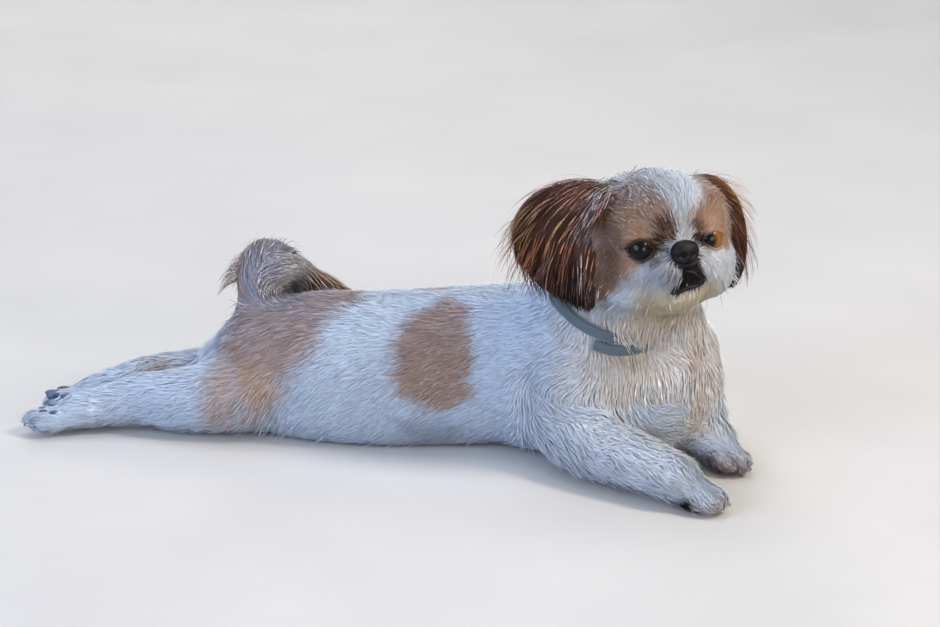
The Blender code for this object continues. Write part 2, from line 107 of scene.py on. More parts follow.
# Outlines of the markings. On the head: degrees to the left and up, seen from the skull's middle.
NEAR_MASK = [(-106, 50), (-89, 72), (-32, 65), (-13, 47), (-7, 34), (-3, 24), (-8, 11), (-17, 2), (-31, -9),
             (-39, -12), (-48, -18), (-56, -26), (-74, -36), (-100, -38), (-130, -20), (-135, 25)]
FAR_MASK = [(14, 21), (10, 29), (23, 35), (44, 36), (70, 48), (100, 52), (130, 30), (130, -20), (95, -24),
            (72, -8), (61, -10), (44, -10), (28, -7), (23, 2), (17, 13)]
NEAR_BROW = [(-30, 9), (-19, 4), (-9, 8), (-4, 19), (-6, 29), (-13, 35), (-24, 31), (-27, 23), (-24, 16)]
FAR_BROW = [(12, 20), (19, 26), (29, 23), (34, 15), (29, 10), (20, 9)]
NEAR_CORNER = [(-32, 9), (-24, 12), (-13, 11), (-14, 3), (-22, -3), (-31, -4)]
FAR_CORNER = [(17, 10), (24, 10), (27, 3), (25, -4), (18, 1)]
MOUTH = [(-10, -10), (13, -10), (13.5, -19), (17, -25), (17.5, -28), (14, -32), (-1, -33.5), (-10, -36.5),
         (-14, -36), (-11, -31), (-5, -25), (-5.5, -19), (-8, -14)]
LIP_STAIN = [(-15, -39), (-14, -30), (14, -27), (20, -27), (18, -35), (4, -38)]
# On the body: centimetres along it, and degrees round it from its right side up over the back.
PER_CM = 8      # a centimetre along the body weighs as much as that many degrees round it
FLANK = [(3.5, 88), (1.3, 63), (0.3, 25), (0.9, -8), (3.2, -24), (5.8, -26), (7.2, -14), (7.2, 26), (6.3, 60),
         (5.2, 84)]
SADDLE = [(-4.3, 88), (-5.6, 50), (-6.9, 14), (-9.1, -12), (-11.5, -34), (-15.2, -34), (-15.8, -17), (-15.5, 17),
          (-15.9, 60), (-16.2, 100), (-15.8, 140), (-11, 165), (-7, 140), (-5.5, 110)]
GREY_BELLY = [(1.2, -30), (4.0, -34), (6.4, -42), (5.0, -62), (1.5, -55)]


# ------------------------------------------------------------------ numbers
def srgb(code):
    """A hex colour as linear red, green and blue."""
    parts = [int(code[i:i + 2], 16) / 255 for i in (1, 3, 5)]
    return tuple(p / 12.92 if p <= 0.04045 else ((p + 0.055) / 1.055) ** 2.4 for p in parts)


def soft(low, high, values):
    """0 up to low, 1 from high on, smooth between."""
    share = np.clip((values - low) / (high - low), 0, 1)
    return share * share * (3 - 2 * share)


def cloud(points, cell, seed):
    """A smooth random value from -1 to 1 at each point, with a new one every cell metres."""
    place = points / cell + seed * 7.31
    base = np.floor(place).astype(np.int64)
    part = place - base
    part = part * part * (3 - 2 * part)
    total = np.zeros(len(points))
    for corner in range(8):
        step = np.array([corner & 1, corner >> 1 & 1, corner >> 2 & 1])
        a, b, c = (base + step).T
        mixed = (a * 73856093 ^ b * 19349663 ^ c * 83492791 ^ seed * 2654435) & 0x7FFFFFFF
        mixed = (mixed ^ mixed >> 13) * 1274126177 & 0x7FFFFFFF
        mixed = (mixed ^ mixed >> 16) & 0xFFFF
        total += (mixed / 32767.5 - 1) * np.prod(np.where(step, part, 1 - part), axis=1)
    return total


def inside(outline, u, v, edge, noise=0.0):
    """1 within a closed outline, 0 outside it, with an edge of that softness moved in and out by noise."""
    points = np.array(outline, float)
    near = np.full(len(u), 1e9)
    odd = np.zeros(len(u), bool)
    for (ax, ay), (bx, by) in zip(points, np.roll(points, -1, 0)):
        along = ((u - ax) * (bx - ax) + (v - ay) * (by - ay)) / ((bx - ax)**2 + (by - ay)**2)
        along = np.clip(along, 0, 1)
        near = np.minimum(near, np.hypot(u - ax - along * (bx - ax), v - ay - along * (by - ay)))
        if by != ay:
            odd ^= ((ay > v) != (by > v)) & (u < (bx - ax) * (v - ay) / (by - ay) + ax)
    return soft(-edge, edge, np.where(odd, near, -near) + noise)


def unit(vectors):
    return vectors / np.maximum(np.linalg.norm(vectors, axis=-1, keepdims=True), 1e-9)


def between(old, new, share):
    """old where share is 0, new where it is 1."""
    return old * (1 - share) + new * share


def spread(values, edges, rounds, share=0.5):
    """Values at the mesh's points, averaged over their neighbours that many times."""
    count = len(values)
    degree = np.maximum(np.bincount(edges.ravel(), minlength=count), 1)
    flat = values.reshape(count, -1).copy()
    one, other = edges.T
    for _ in range(rounds):
        for k in range(flat.shape[1]):
            total = np.bincount(one, flat[other, k], count) + np.bincount(other, flat[one, k], count)
            flat[:, k] = flat[:, k] * (1 - share) + share * total / degree
    return flat.reshape(values.shape)


def to_head(points):
    """Points in the head's own space, in centimetres."""
    return (points - HEAD_MIDDLE) @ HEAD_TURN / CM


def from_head(place):
    """A point of the head's own space, given in centimetres, as a place in the scene."""
    return HEAD @ (Vector(place) * CM)


def flat_angles(outline):
    """An outline given by its turn to the left and its rise, in degrees, on the flat map of the head."""
    a, e = np.radians(np.array(outline, float)).T
    return head_map(np.stack([np.cos(e) * np.cos(a), np.cos(e) * np.sin(a), np.sin(e)], 1))


def head_map(local):
    """Points of the head's own space on a flat map: degrees left and up from the nose's direction."""
    way = unit(local)
    off = np.degrees(np.arccos(np.clip(way[:, 0], -1, 1)))
    flat = np.hypot(way[:, 1], way[:, 2]) + 1e-9
    return np.stack([off * way[:, 1] / flat, off * way[:, 2] / flat], 1)


def on_head(outline, places, edge, noise=0.0):
    """How far each place on the flat map lies within one of the head's outlines."""
    return inside(flat_angles(outline), places[:, 0], places[:, 1], edge, noise)


# ------------------------------------------------------------------ settings
class DogSizes(bpy.types.PropertyGroup):
    skin_grain: FloatProperty(name="Skin grain", description="Grid that the one skin is built on",
                              default=0.0027, unit="LENGTH")
    eye_radius: FloatProperty(name="Eye radius", description="Radius of an eyeball",
                              default=EYE_RADIUS, unit="LENGTH")
    lid_width: FloatProperty(name="Lid opening width", default=math.radians(46), subtype="ANGLE",
                             description="Half the opening between the lids, from the eye's middle")
    lid_height: FloatProperty(name="Lid opening height", default=math.radians(37), subtype="ANGLE",
                              description="Half the opening's height, from the eye's middle")
    lip_radius: FloatProperty(name="Lip radius", description="Radius of the rolled edge of the lips",
                              default=0.0013, unit="LENGTH")
    density: FloatProperty(name="Coat density", description="Share of the locks that grow",
                           default=1.0, subtype="FACTOR")
    floor: FloatProperty(name="Floor", description="Side of the floor", default=14.0, unit="LENGTH")
    lens: FloatProperty(name="Lens", description="Focal length in millimetres", default=130.5)
    distance: FloatProperty(name="Distance", description="From the camera to the dog", default=2.9, unit="LENGTH")


def colour(name, code, text):
    return FloatVectorProperty(name=name, description=text, subtype="COLOR", size=3, min=0, max=1, default=srgb(code))


class DogColours(bpy.types.PropertyGroup):
    white: colour("White", "#EEF2FA", "The main coat, clean white and a little cool")
    # painted blue shade: white hair as it looks in cool shade, mixed into the coat's colour where that shade falls
    cool: colour("Blue-shaded white", "#CCE1FB", "White of the back and flanks, bluer in the open light")
    cream: colour("Cream", "#CDBB96", "Chin and throat, stained by food and water")
    blush: colour("Blush", "#E0C6BA", "Pink skin that shows through the chest's thin coat")
    tan: colour("Tan", "#9C7252", "Mask and flank patch")
    fawn: colour("Fawn", "#C9A286", "The saddle's light hair")
    taupe: colour("Taupe", "#837A86", "The saddle's grey-brown hair")
    ash: colour("Ash", "#727A90", "Blue-grey hair of the tail and ears")
    brown: colour("Brown", "#583120", "Ears")
    sunlit_gold: colour("Gold", "#84492A", "Sunlit brown of the ears")
    umber: colour("Umber", "#17100D", "Dark ear tips and streaks round the eyes")
    rim: colour("Rim", "#0E0A0A", "Bare dark skin of lids and lips")


# ------------------------------------------------------------------ markings, the same for skin and coat
class Brush:
    """Points of the skin or coat, what is known of each, and the colour laid on it so far."""

    def __init__(self, points, share, streak):
        """share holds how much each point belongs to a part of the body, and streak is a random number from
        0 to 1 for each lock, or 0.5 on the skin."""
        self.tone = {k: np.array(getattr(bpy.context.scene.dog_colours, k)) for k in DogColours.__annotations__}
        self.points, self.share = points, share
        self.x, self.y, self.z = (points / CM).T
        self.local = to_head(points)
        self.flat = head_map(self.local)
        self.clouds = cloud(points, 0.045, 1), cloud(points, 0.014, 2), cloud(points, 0.005, 3)
        self.lean = streak - 0.5
        self.made = np.tile(self.tone["white"], (len(points), 1))

    def stain(self, name, amount):
        """Mixes one of the colours in, by an amount from 0 to 1 at each point."""
        self.made = between(self.made, self.tone[name], np.clip(amount, 0, 1)[:, None])


def paint_whites(brush):
    """The white coat: painted blue shade on back, legs and head, painted shade on the near forepaw, warm on chest and
    throat, flecked with cream, and greyer towards the floor.
    """
    share, lean, stain, (big, mid, _) = brush.share, brush.lean, brush.stain, brush.clouds
    x, y, z = brush.x, brush.y, brush.z
    brush.made *= (1 + 0.05 * big + 0.06 * lean)[:, None]
    # painted blue shade: back, flanks, legs and head mixed toward the blue-shaded white
    cool = ((share["trunk"] + share["neck"]) * (1 - soft(12, 18, x)) + share["hindleg"] + 0.7 * share["foreleg"]
            + share["paw"])
    cool = np.clip(cool + 0.6 * share["head"], 0, 1)[:, None]
    brush.made *= 1 + 0.9 * cool * (brush.tone["cool"] / brush.tone["white"] - 1)
    # painted shade: the near forepaw's white a fifth darker
    brush.made *= 1 - 0.22 * share["forepaw_right"][:, None]
    chest = (soft(16.0, 20.0, x) * soft(2.0, 5.0, z) * (1 - soft(13.5, 16.5, z)) * (1 - share["foreleg"])
             * (1 - soft(4.5, 8.0, np.abs(y - 0.5))))
    stain("blush", chest * np.clip(0.30 + 0.55 * mid + 0.3 * lean, 0, 0.6))
    stain("cream", chest * (0.18 + 0.6 * big))
    throat = share["neck"] * soft(18.0, 22.0, x) * soft(12.5, 14.0, z)
    stain("cream", throat * (0.30 + 0.3 * mid))
    stain("blush", share["hindleg"] * 0.25 * soft(-0.1, 0.6, big))
    stain("cream", 0.16 * soft(0.0, 0.8, mid + 0.4 * big) * soft(2, 14, x))
    low = (1 - soft(0.6, 2.6, z + 0.8 * mid)) * (1 - share["paw"])
    stain("taupe", 0.16 * low)


def paint_patches(brush):
    """The patches of the body: flank, belly, saddle, the tail's root and two faint spots."""
    share, lean, stain, (_, mid, fine) = brush.share, brush.lean, brush.stain, brush.clouds
    x, y, z = brush.x, brush.y, brush.z
    turn = np.degrees(np.arctan2(z - 6.5, 1.5 - y))      # degrees round the body
    turn = np.where(turn < -100, turn + 360, turn)

    def patch(outline, edge, noise):
        return inside([(u * PER_CM, v) for u, v in outline], x * PER_CM, turn, edge, noise)

    trunk = share["trunk"]
    wobble = 3.2 * mid + 2.5 * fine + 5 * lean
    flank = trunk * patch(FLANK, 5.5, wobble)
    lower = 1 - soft(-10, 60, turn)
    stain("tan", flank * (0.88 + 0.1 * lean))
    stain("fawn", flank * (0.35 + 0.4 * mid + 0.7 * lean))
    stain("taupe", flank * (0.28 * (1 - lower) + 0.25 * mid + 0.4 * lean))
    stain("ash", trunk * 0.45 * patch(GREY_BELLY, 7, wobble))
    back = np.maximum(trunk, share["hindleg"] * 0.9)
    saddle = back * patch(SADDLE, 11, 3 * mid + 3 * fine + 9 * lean)
    saddle *= 1 - 0.35 * (1 - soft(-34, -5, turn))
    stain("fawn", saddle * (0.90 + 0.10 * mid + 0.2 * lean))
    stain("tan", saddle * (0.10 * soft(-0.2, 0.6, mid) + 0.18 * soft(-12, -8, x) + 0.3 * lean))
    stain("taupe", saddle * soft(-25, 50, turn) * (0.62 + 0.25 * fine + 0.6 * lean))
    stain("umber", saddle * soft(45, 75, turn) * 0.6 * soft(0.25, 0.45, lean + 0.1 * fine))
    tail_root = trunk * (1 - soft(1.5, 4.5, np.hypot(x + 11.0, y - 1.5))) * soft(9.5, 11.0, z)
    stain("ash", tail_root * (0.4 + 0.9 * lean))
    faint = trunk * (1 - soft(0.5, 1.5, np.hypot(x - 1.6, y - 4.0)))
    stain("fawn", 0.55 * faint)
    thigh = np.hypot((x + 21.6) * 0.75, y + 2.4) + 0.6 * fine
    stain("tan", share["hindleg_left"] * (1 - soft(0.7, 2.4, thigh)) * soft(3.0, 4.5, z) * (0.75 + 0.8 * lean))


def paint_tail(brush):
    """The tail: grey-brown with fawn streaks, dark where it falls onto the back, and its plume."""
    lean, stain, (_, mid, fine) = brush.lean, brush.stain, brush.clouds
    x, z, tail, plume = brush.x, brush.z, brush.share["tail"], brush.share["tail_plume"]
    stain("ash", tail * (0.85 + 0.3 * lean))
    stain("taupe", tail * (0.45 + 0.9 * lean))
    stain("fawn", tail * (0.75 + 0.6 * mid + 0.5 * lean) * (1 - soft(-16.2, -14.6, x + 0.5 * fine)))
    fall = tail * soft(-12.0, -11.2, x)
    stain("fawn", fall * (0.65 + 0.6 * lean))
    stain("brown", fall * (0.5 + 0.8 * mid + 0.4 * lean) * (1 - soft(10.4, 11.8, z)))
    stain("taupe", plume)
    stain("umber", 0.12 * tail + 0.25 * plume)
    stain("fawn", plume * (0.60 + 0.8 * lean))
    stain("brown", plume * (0.25 + 0.9 * mid - 0.5 * lean) * (1 - 0.8 * soft(9.8, 11.4, z)))


def paint_paws(brush):
    """The paws, darker at the toes, in the gaps between them and low down by the floor."""
    share, lean, stain, (_, mid, fine) = brush.share, brush.lean, brush.stain, brush.clouds
    stain("taupe", toe_gaps(brush.points, share) * (0.55 + 0.5 * lean))
    stain("tan", share["forepaw"] * (1 - soft(0.7, 2.0, brush.z)) * (0.30 + 0.8 * fine))
    stain("brown", share["forepaw_left"] * (1 - soft(0.6, 2.2, brush.z + 0.5 * mid)) * (0.85 + 0.4 * lean))
    stain("umber", share["forepaw_right"] * (1 - soft(0.5, 1.1, np.hypot(brush.x - 28.0, brush.z - 0.6))))


def paint_head(brush):
    """The head: masks round both eyes, dark brow streaks and corners, stained chin and whisker pads, and painted
    shade over the near side, strongest on the near muzzle and cheek.
    """
    lean, stain, (_, mid, fine) = brush.lean, brush.stain, brush.clouds
    head, local, flat = brush.share["head"], brush.local, brush.flat
    u, v = flat.T
    edge = 3.0 * mid + 2.0 * fine + 5.0 * lean
    # painted shade: the head's white a tenth darker on its near side, less towards the far side
    brush.made *= (1 - head * (0.10 - 0.06 * soft(0, 25, u)))[:, None]
    stain("cream", head * 0.10)
    crown = soft(35, 75, v)
    near_mask = on_head(NEAR_MASK, flat, 6, edge)
    mask = np.maximum(near_mask, on_head(FAR_MASK, flat, 5, edge))
    mask *= soft(-3.6, -1.4, local[:, 0] + 0.8 * mid)
    stain("tan", head * mask * (0.95 - 0.30 * crown + 0.3 * lean))
    stain("fawn", head * mask * soft(0.0, 0.5, lean + 0.4 * fine) * 0.6)
    stain("taupe", head * mask * crown * 0.5)
    stain("brown", head * mask * 0.70 * soft(0.0, 0.5, -0.6 * lean + 0.45 * mid))
    stain("brown", head * mask * 0.40 * (1 - soft(-62, -50, u)) * (1 - soft(20, 50, v)))
    below = head * near_mask * (1 - soft(-22, -4, v))
    stain("fawn", below * 0.25)
    stain("brown", below * 0.45 * (1 - soft(-58, -46, u)))
    stain("brown", head * 0.85 * on_head(NEAR_BROW, flat, 5, edge) * (0.85 + 0.5 * lean))
    stain("umber", head * on_head(NEAR_BROW, flat, 4, edge) * (0.50 + 0.9 * lean))
    stain("umber", head * 0.75 * on_head(FAR_BROW, flat, 4, edge) * (0.8 + 0.7 * lean))
    corner = np.maximum(on_head(NEAR_CORNER, flat, 3, edge), on_head(FAR_CORNER, flat, 2.5, edge))
    stain("umber", head * corner * (0.85 + 0.4 * lean))
    bridge = head * np.exp(-((u - 2) / 7.0)**2 - ((v - 11) / 7.0)**2)
    stain("fawn", bridge * 0.3)
    chin = head * (1 - soft(-38, -30, v)) * (1 - soft(28, 48, np.abs(u))) * soft(0, 2, local[:, 0])
    stain("cream", chin * (0.90 + 0.2 * mid + 0.12 * lean))
    stain("taupe", head * inside(LIP_STAIN, u, v, 3.0, 1.5 * fine) * (0.55 + 0.6 * lean))
    pads = head * np.exp(-((np.abs(u) - 16) / 9.0)**2 - ((v + 19) / 8.0)**2)
    # the near side's whisker pad and cheek take more taupe: partly their grey hair, partly painted shade
    near = 1 - soft(-4, 8, u)
    stain("taupe", pads * (0.18 + 0.32 * near + 0.6 * lean))
    stain("umber", pads * (0.6 + 0.3 * near) * soft(0.20, 0.38, -lean + 0.15 * fine))
    cheek = head * (1 - mask) * near * (1 - soft(-8, 2, v)) * soft(-34, -26, v)
    stain("taupe", cheek * (0.16 + 0.4 * lean))
    # painted shade: the near side of the muzzle and lower face darker still
    brush.made *= 1 - (0.31 * head * (1 - soft(2, 20, u)) * soft(-38, -28, v))[:, None]


def paint_ears(brush):
    """The ears: brown, with streaks that run down the hair, dark at the root and the tip, with painted sunlight in
    gold, strong on the far ear and towards each ear's back edge.
    """
    lean, (ahead, aside, up) = brush.lean, brush.local.T
    lines = np.stack([ahead, aside, up * 0.16], 1) * CM
    one, two, three = cloud(lines, 0.007, 11), cloud(lines, 0.004, 12), cloud(lines, 0.011, 13)
    front = soft(-0.6, 1.4, ahead)
    # painted sunlight: the far ear takes much sunlit gold, the near one a little, and both take painted golden
    # backlight towards their back edges
    for side, sunlit_gold in (("ear_right", 0.10), ("ear_left", 0.65)):
        ear = np.tile(brush.tone["brown"], (len(lines), 1))
        for name, amount in (
                ("sunlit_gold", sunlit_gold * (0.5 + 0.9 * one) + 0.50 * (1 - front) * (0.6 + 0.5 * two)),
                ("umber", (0.40 + 0.50 * two - 0.10 * lean) * (0.65 + 0.35 * front)),
                ("umber", 0.94 * (1 - soft(-4.0, 2.2, up + 0.7 * one))),
                ("ash", (0.62 - sunlit_gold) * soft(0.12, 0.5, three + 0.10 * lean) * front * soft(-4.0, 0.0, up)),
                ("taupe", (0.70 - sunlit_gold) * soft(1.2, 4.8, up) * (0.22 + 0.14 * lean)),
                ("umber", 0.60 * soft(2.0, 4.0, up))):
            ear = between(ear, brush.tone[name], np.clip(amount, 0, 1)[:, None])
        brush.made = between(brush.made, ear, brush.share[side][:, None])


def paint_bare_skin(brush):
    """Bare dark skin of lids, mouth and nose, dark hair round the eyes and the tear stains at their inner corners,
    with painted shade above the near eye.
    """
    lean, stain, (_, _, fine) = brush.lean, brush.stain, brush.clouds
    head, local, flat = brush.share["head"], brush.local, brush.flat
    for side, (centre, aim, _, opening) in EYES.items():
        centre = np.array(centre)
        middle = to_head(centre[None])[0]
        off = np.linalg.norm(brush.points - centre, axis=1) / EYE_RADIUS
        ring, _ = lid_ring(unit(brush.points - centre), aim, opening)
        close = head * (1 - soft(1.7, 2.1, off))
        inner = soft(-0.3, 0.9, side * (middle[1] - local[:, 1]))
        above = soft(-0.2, 0.7, local[:, 2] - middle[2])
        if side > 0:
            start, reach, fade = 1.10, 1.22 + 0.95 * inner, 0.25 + 0.75 * inner
        # the near eye's dark ring reaches further upwards: partly its dark hair, partly painted shade under the upper
        # lid
        else:
            start, reach, fade = 1.26, 1.66 + 0.45 * inner + 0.2 * above, 1.0
        stain("umber", close * 0.92 * fade * (1 - soft(start, reach, ring + 0.12 * fine + 0.15 * lean)))
        stain("rim", close * fade * (1 - soft(1.02, 1.12, ring)))
    stain("rim", head * on_head(MOUTH, flat, 1.5, 1.0 * fine))
    muzzle = np.linalg.norm((local - NOSE[0]) / NOSE[1], axis=1)
    stain("taupe", head * (0.55 + 0.5 * lean) * (1 - soft(1.15, 1.50, muzzle)))
    stain("umber", head * (1 - soft(1.30, 1.55, muzzle)) * (1 - soft(-11, -4, flat[:, 1])))
    stain("rim", head * (1 - soft(1.08, 1.20, muzzle)))


def paint(points, share, streak):
    """Colour of the skin or coat at each point."""
    brush = Brush(points, share, streak)
    for layer in (paint_whites, paint_patches, paint_tail, paint_paws, paint_head, paint_ears, paint_bare_skin):
        layer(brush)
    return np.clip(brush.made, 0.003, 0.95)


# The eyes by side: the eyeball's middle, the directions in which the lids open and the eye looks, then how wide
# and high the lids open and how many degrees they slope.
EYES = {}
for side, aim, look, opening in (
        (-1, (-25, 1), (-22, 3), (1.26, 1.14, 4)),
        (1, (15, -1), (-36, 3), (1.36, 0.94, 17))):
    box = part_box("eye_right" if side < 0 else "eye_left")
    centre = (Vector(box[0]) + Vector(box[1])) / 2
    ways = []
    for a, e in (aim, look):
        a, e = math.radians(a), math.radians(e)
        ways.append(HEAD.to_3x3() @ Vector((math.cos(e) * math.cos(a), math.cos(e) * math.sin(a), math.sin(e))))
    EYES[side] = (centre, *ways, opening)


# ------------------------------------------------------------------ meshes
def new_object(name, mesh, finish=None, smooth=True):
    made = bpy.data.objects.new(name, mesh)
    bpy.context.scene.collection.objects.link(made)
    if finish:
        mesh.materials.append(finish)
    if smooth:
        mesh.polygons.foreach_set("use_smooth", [True] * len(mesh.polygons))
    return made


def applied(obj):
    """The object's mesh with its modifiers applied; the object goes."""
    mesh = bpy.data.meshes.new_from_object(obj.evaluated_get(bpy.context.evaluated_depsgraph_get()))
    bpy.data.objects.remove(obj)
    return mesh


def with_modifier(mesh, kind, **settings):
    """The mesh as one modifier makes it."""
    holder = new_object("working", mesh, smooth=False)
    modifier = holder.modifiers.new(kind.title(), kind)
    for key, value in settings.items():
        setattr(modifier, key, value)
    return applied(holder)


def node_bmesh(*names, grow=0.0):
    """Copies of the solids with their doubles merged, each grown a little along its normals."""
    whole = bmesh.new()
    for name in names:
        work = bmesh.new()
        work.from_mesh(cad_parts[name].data)
        bmesh.ops.remove_doubles(work, verts=work.verts, dist=1e-5)
        work.normal_update()
        if grow:
            for vert, normal in [(v, v.normal.copy()) for v in work.verts]:
                vert.co += normal * grow
        part = bpy.data.meshes.new("part")
        work.to_mesh(part)
        whole.from_mesh(part)
        work.free()
        bpy.data.meshes.remove(part)
    return whole


def mesh_of(work, name):
    """A mesh of the bmesh, which goes."""
    mesh = bpy.data.meshes.new(name)
    work.to_mesh(mesh)
    work.free()
    return mesh


def numbers(collection, field, width, kind=np.float32):
    """One field of all points, edges or triangles as an array."""
    found = np.empty(len(collection) * width, kind)
    collection.foreach_get(field, found)
    return found.reshape(-1, width) if width > 1 else found


def store(mesh, name, kind, field, values):
    """Keeps a value at each of the mesh's points for its material."""
    layer = mesh.attributes.new(name, kind, "POINT")
    layer.data.foreach_set(field, np.asarray(values, np.float32).ravel())


# ------------------------------------------------------------------ the one skin
class Skin:
    """The skin's points, triangles and what the coat needs to know at each point."""


SKIN = Skin()


def nearest_flesh(points):
    """For each point the node of flesh that it is nearest to, as its number in FLESH, and how far off it is."""
    corners, faces, owner = [], [], []
    for k, name in enumerate(FLESH):
        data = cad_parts[name].data
        data.calc_loop_triangles()
        start = len(corners)
        corners += [v.co.copy() for v in data.vertices]
        for t in data.loop_triangles:
            faces.append(tuple(start + i for i in t.vertices))
            owner.append(k)
    tree = BVHTree.FromPolygons(corners, faces)
    found = [tree.find_nearest(p) for p in points.tolist()]
    return np.array([owner[f[2]] for f in found]), np.array([f[3] for f in found])


def build_skin(sizes):
    """The flesh joined into one shell, sunk under the coat and shaped at the face."""
    work = node_bmesh(*FLESH, "eye_right", "eye_left", "nose", grow=0.0005)
    mesh = with_modifier(mesh_of(work, "flesh"), "REMESH", mode="VOXEL", voxel_size=sizes.skin_grain)
    work = bmesh.new()
    work.from_mesh(mesh)
    bpy.data.meshes.remove(mesh)
    keep_biggest(work)
    mesh = mesh_of(work, "skin")

    at = numbers(mesh.vertices, "co", 3).astype(float)
    edges = numbers(mesh.edges, "vertices", 2, np.int32)
    at = spread(at, edges, 12)
    mesh.vertices.foreach_set("co", at.ravel())
    mesh.update()

    label, _ = nearest_flesh(at)
    # how far each point lies under the coat, less where the body is thin
    local = to_head(at)
    kind = np.array([list(COAT).index(part_kind(n)) for n in FLESH])[label]
    deep = np.array([v[0] for v in COAT.values()])[kind] * MM
    face = (label == 0) * soft(1.5, 3.5, local[:, 0]) * (1 - soft(2.2, 4.2, local[:, 2]))
    muzzle = (label == 0) * soft(3.0, 4.6, local[:, 0]) * (1 - soft(2.2, 3.4, np.abs(local[:, 1])))
    deep = deep * (1 - 0.40 * face) * (1 - 0.35 * muzzle)
    normals = numbers(mesh.vertices, "normal", 3).astype(float)
    normals = unit(spread(normals, edges, 6))
    shell = BVHTree.FromPolygons(at.tolist(), [tuple(p.vertices) for p in mesh.polygons])
    thick = np.array([(shell.ray_cast(p - n * 1e-4, -n)[3] or 0.05) for p, n in
                      ((Vector(p), Vector(n)) for p, n in zip(at.tolist(), normals.tolist()))])
    deep = np.minimum(deep, 0.30 * thick)
    for centre, *_ in EYES.values():
        deep *= soft(1.1, 1.7, np.linalg.norm(at - np.array(centre), axis=1) / EYE_RADIUS)
    deep = spread(deep, edges, 10)
    paw_share = {name: spread((label == k).astype(float), edges, 4) for k, name in enumerate(FLESH) if "paw" in name}
    deep = deep + 0.0030 * toe_gaps(at, paw_share)
    at = at - normals * (deep - 0.0004)[:, None]
    at = spread(at, edges, 3)
    at[:, 2] = np.maximum(at[:, 2], 0.0012)
    mesh.vertices.foreach_set("co", at.ravel())
    return refine_face(mesh)


TOES = []      # for each paw: its middle, the ways ahead and to the side, and half its length and width
for end in PAWS:
    low, high = (np.array(v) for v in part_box(end.replace("_", "paw_")))
    leg = sum(np.array(v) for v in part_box(end.replace("_", "leg_"))) / 2
    ahead = (low + high) / 2 - leg
    ahead[2] = 0
    ahead /= np.linalg.norm(ahead)
    aside = np.array([-ahead[1], ahead[0], 0])
    length, width = (np.abs(way) @ (high - low) / 2 for way in (ahead, aside))
    TOES.append((end, (low + high) / 2, ahead, aside, length, width))


def toe_gaps(points, share):
    """1 in the three gaps between the four toes of each paw, 0 on the toes."""
    gap = np.zeros(len(points))
    for end, middle, ahead, aside, length, width in TOES:
        forth, across = (points - middle) @ ahead / length, (points - middle) @ aside / width
        lines = sum(np.exp(-((across - place) / 0.085)**2) for place in (-0.42, 0.0, 0.42))
        gap += share[end.replace("_", "paw_")] * np.clip(lines, 0, 1) * soft(0.0, 0.55, forth)
    return gap


def part_kind(name):
    """The entry of COAT that a node of flesh goes by."""
    return next(k for k in sorted(COAT, key=len, reverse=True) if name.startswith(k))


def keep_biggest(work):
    """Leaves only the shell with the most faces."""
    left, best = set(work.verts), []
    while left:
        start = left.pop()
        shell, front = [start], [start]
        while front:
            vert = front.pop()
            for edge in vert.link_edges:
                other = edge.other_vert(vert)
                if other in left:
                    left.discard(other)
                    shell.append(other)
                    front.append(other)
        best = max(best, shell, key=len)
    keep = set(best)
    bmesh.ops.delete(work, geom=[v for v in work.verts if v not in keep], context="VERTS")


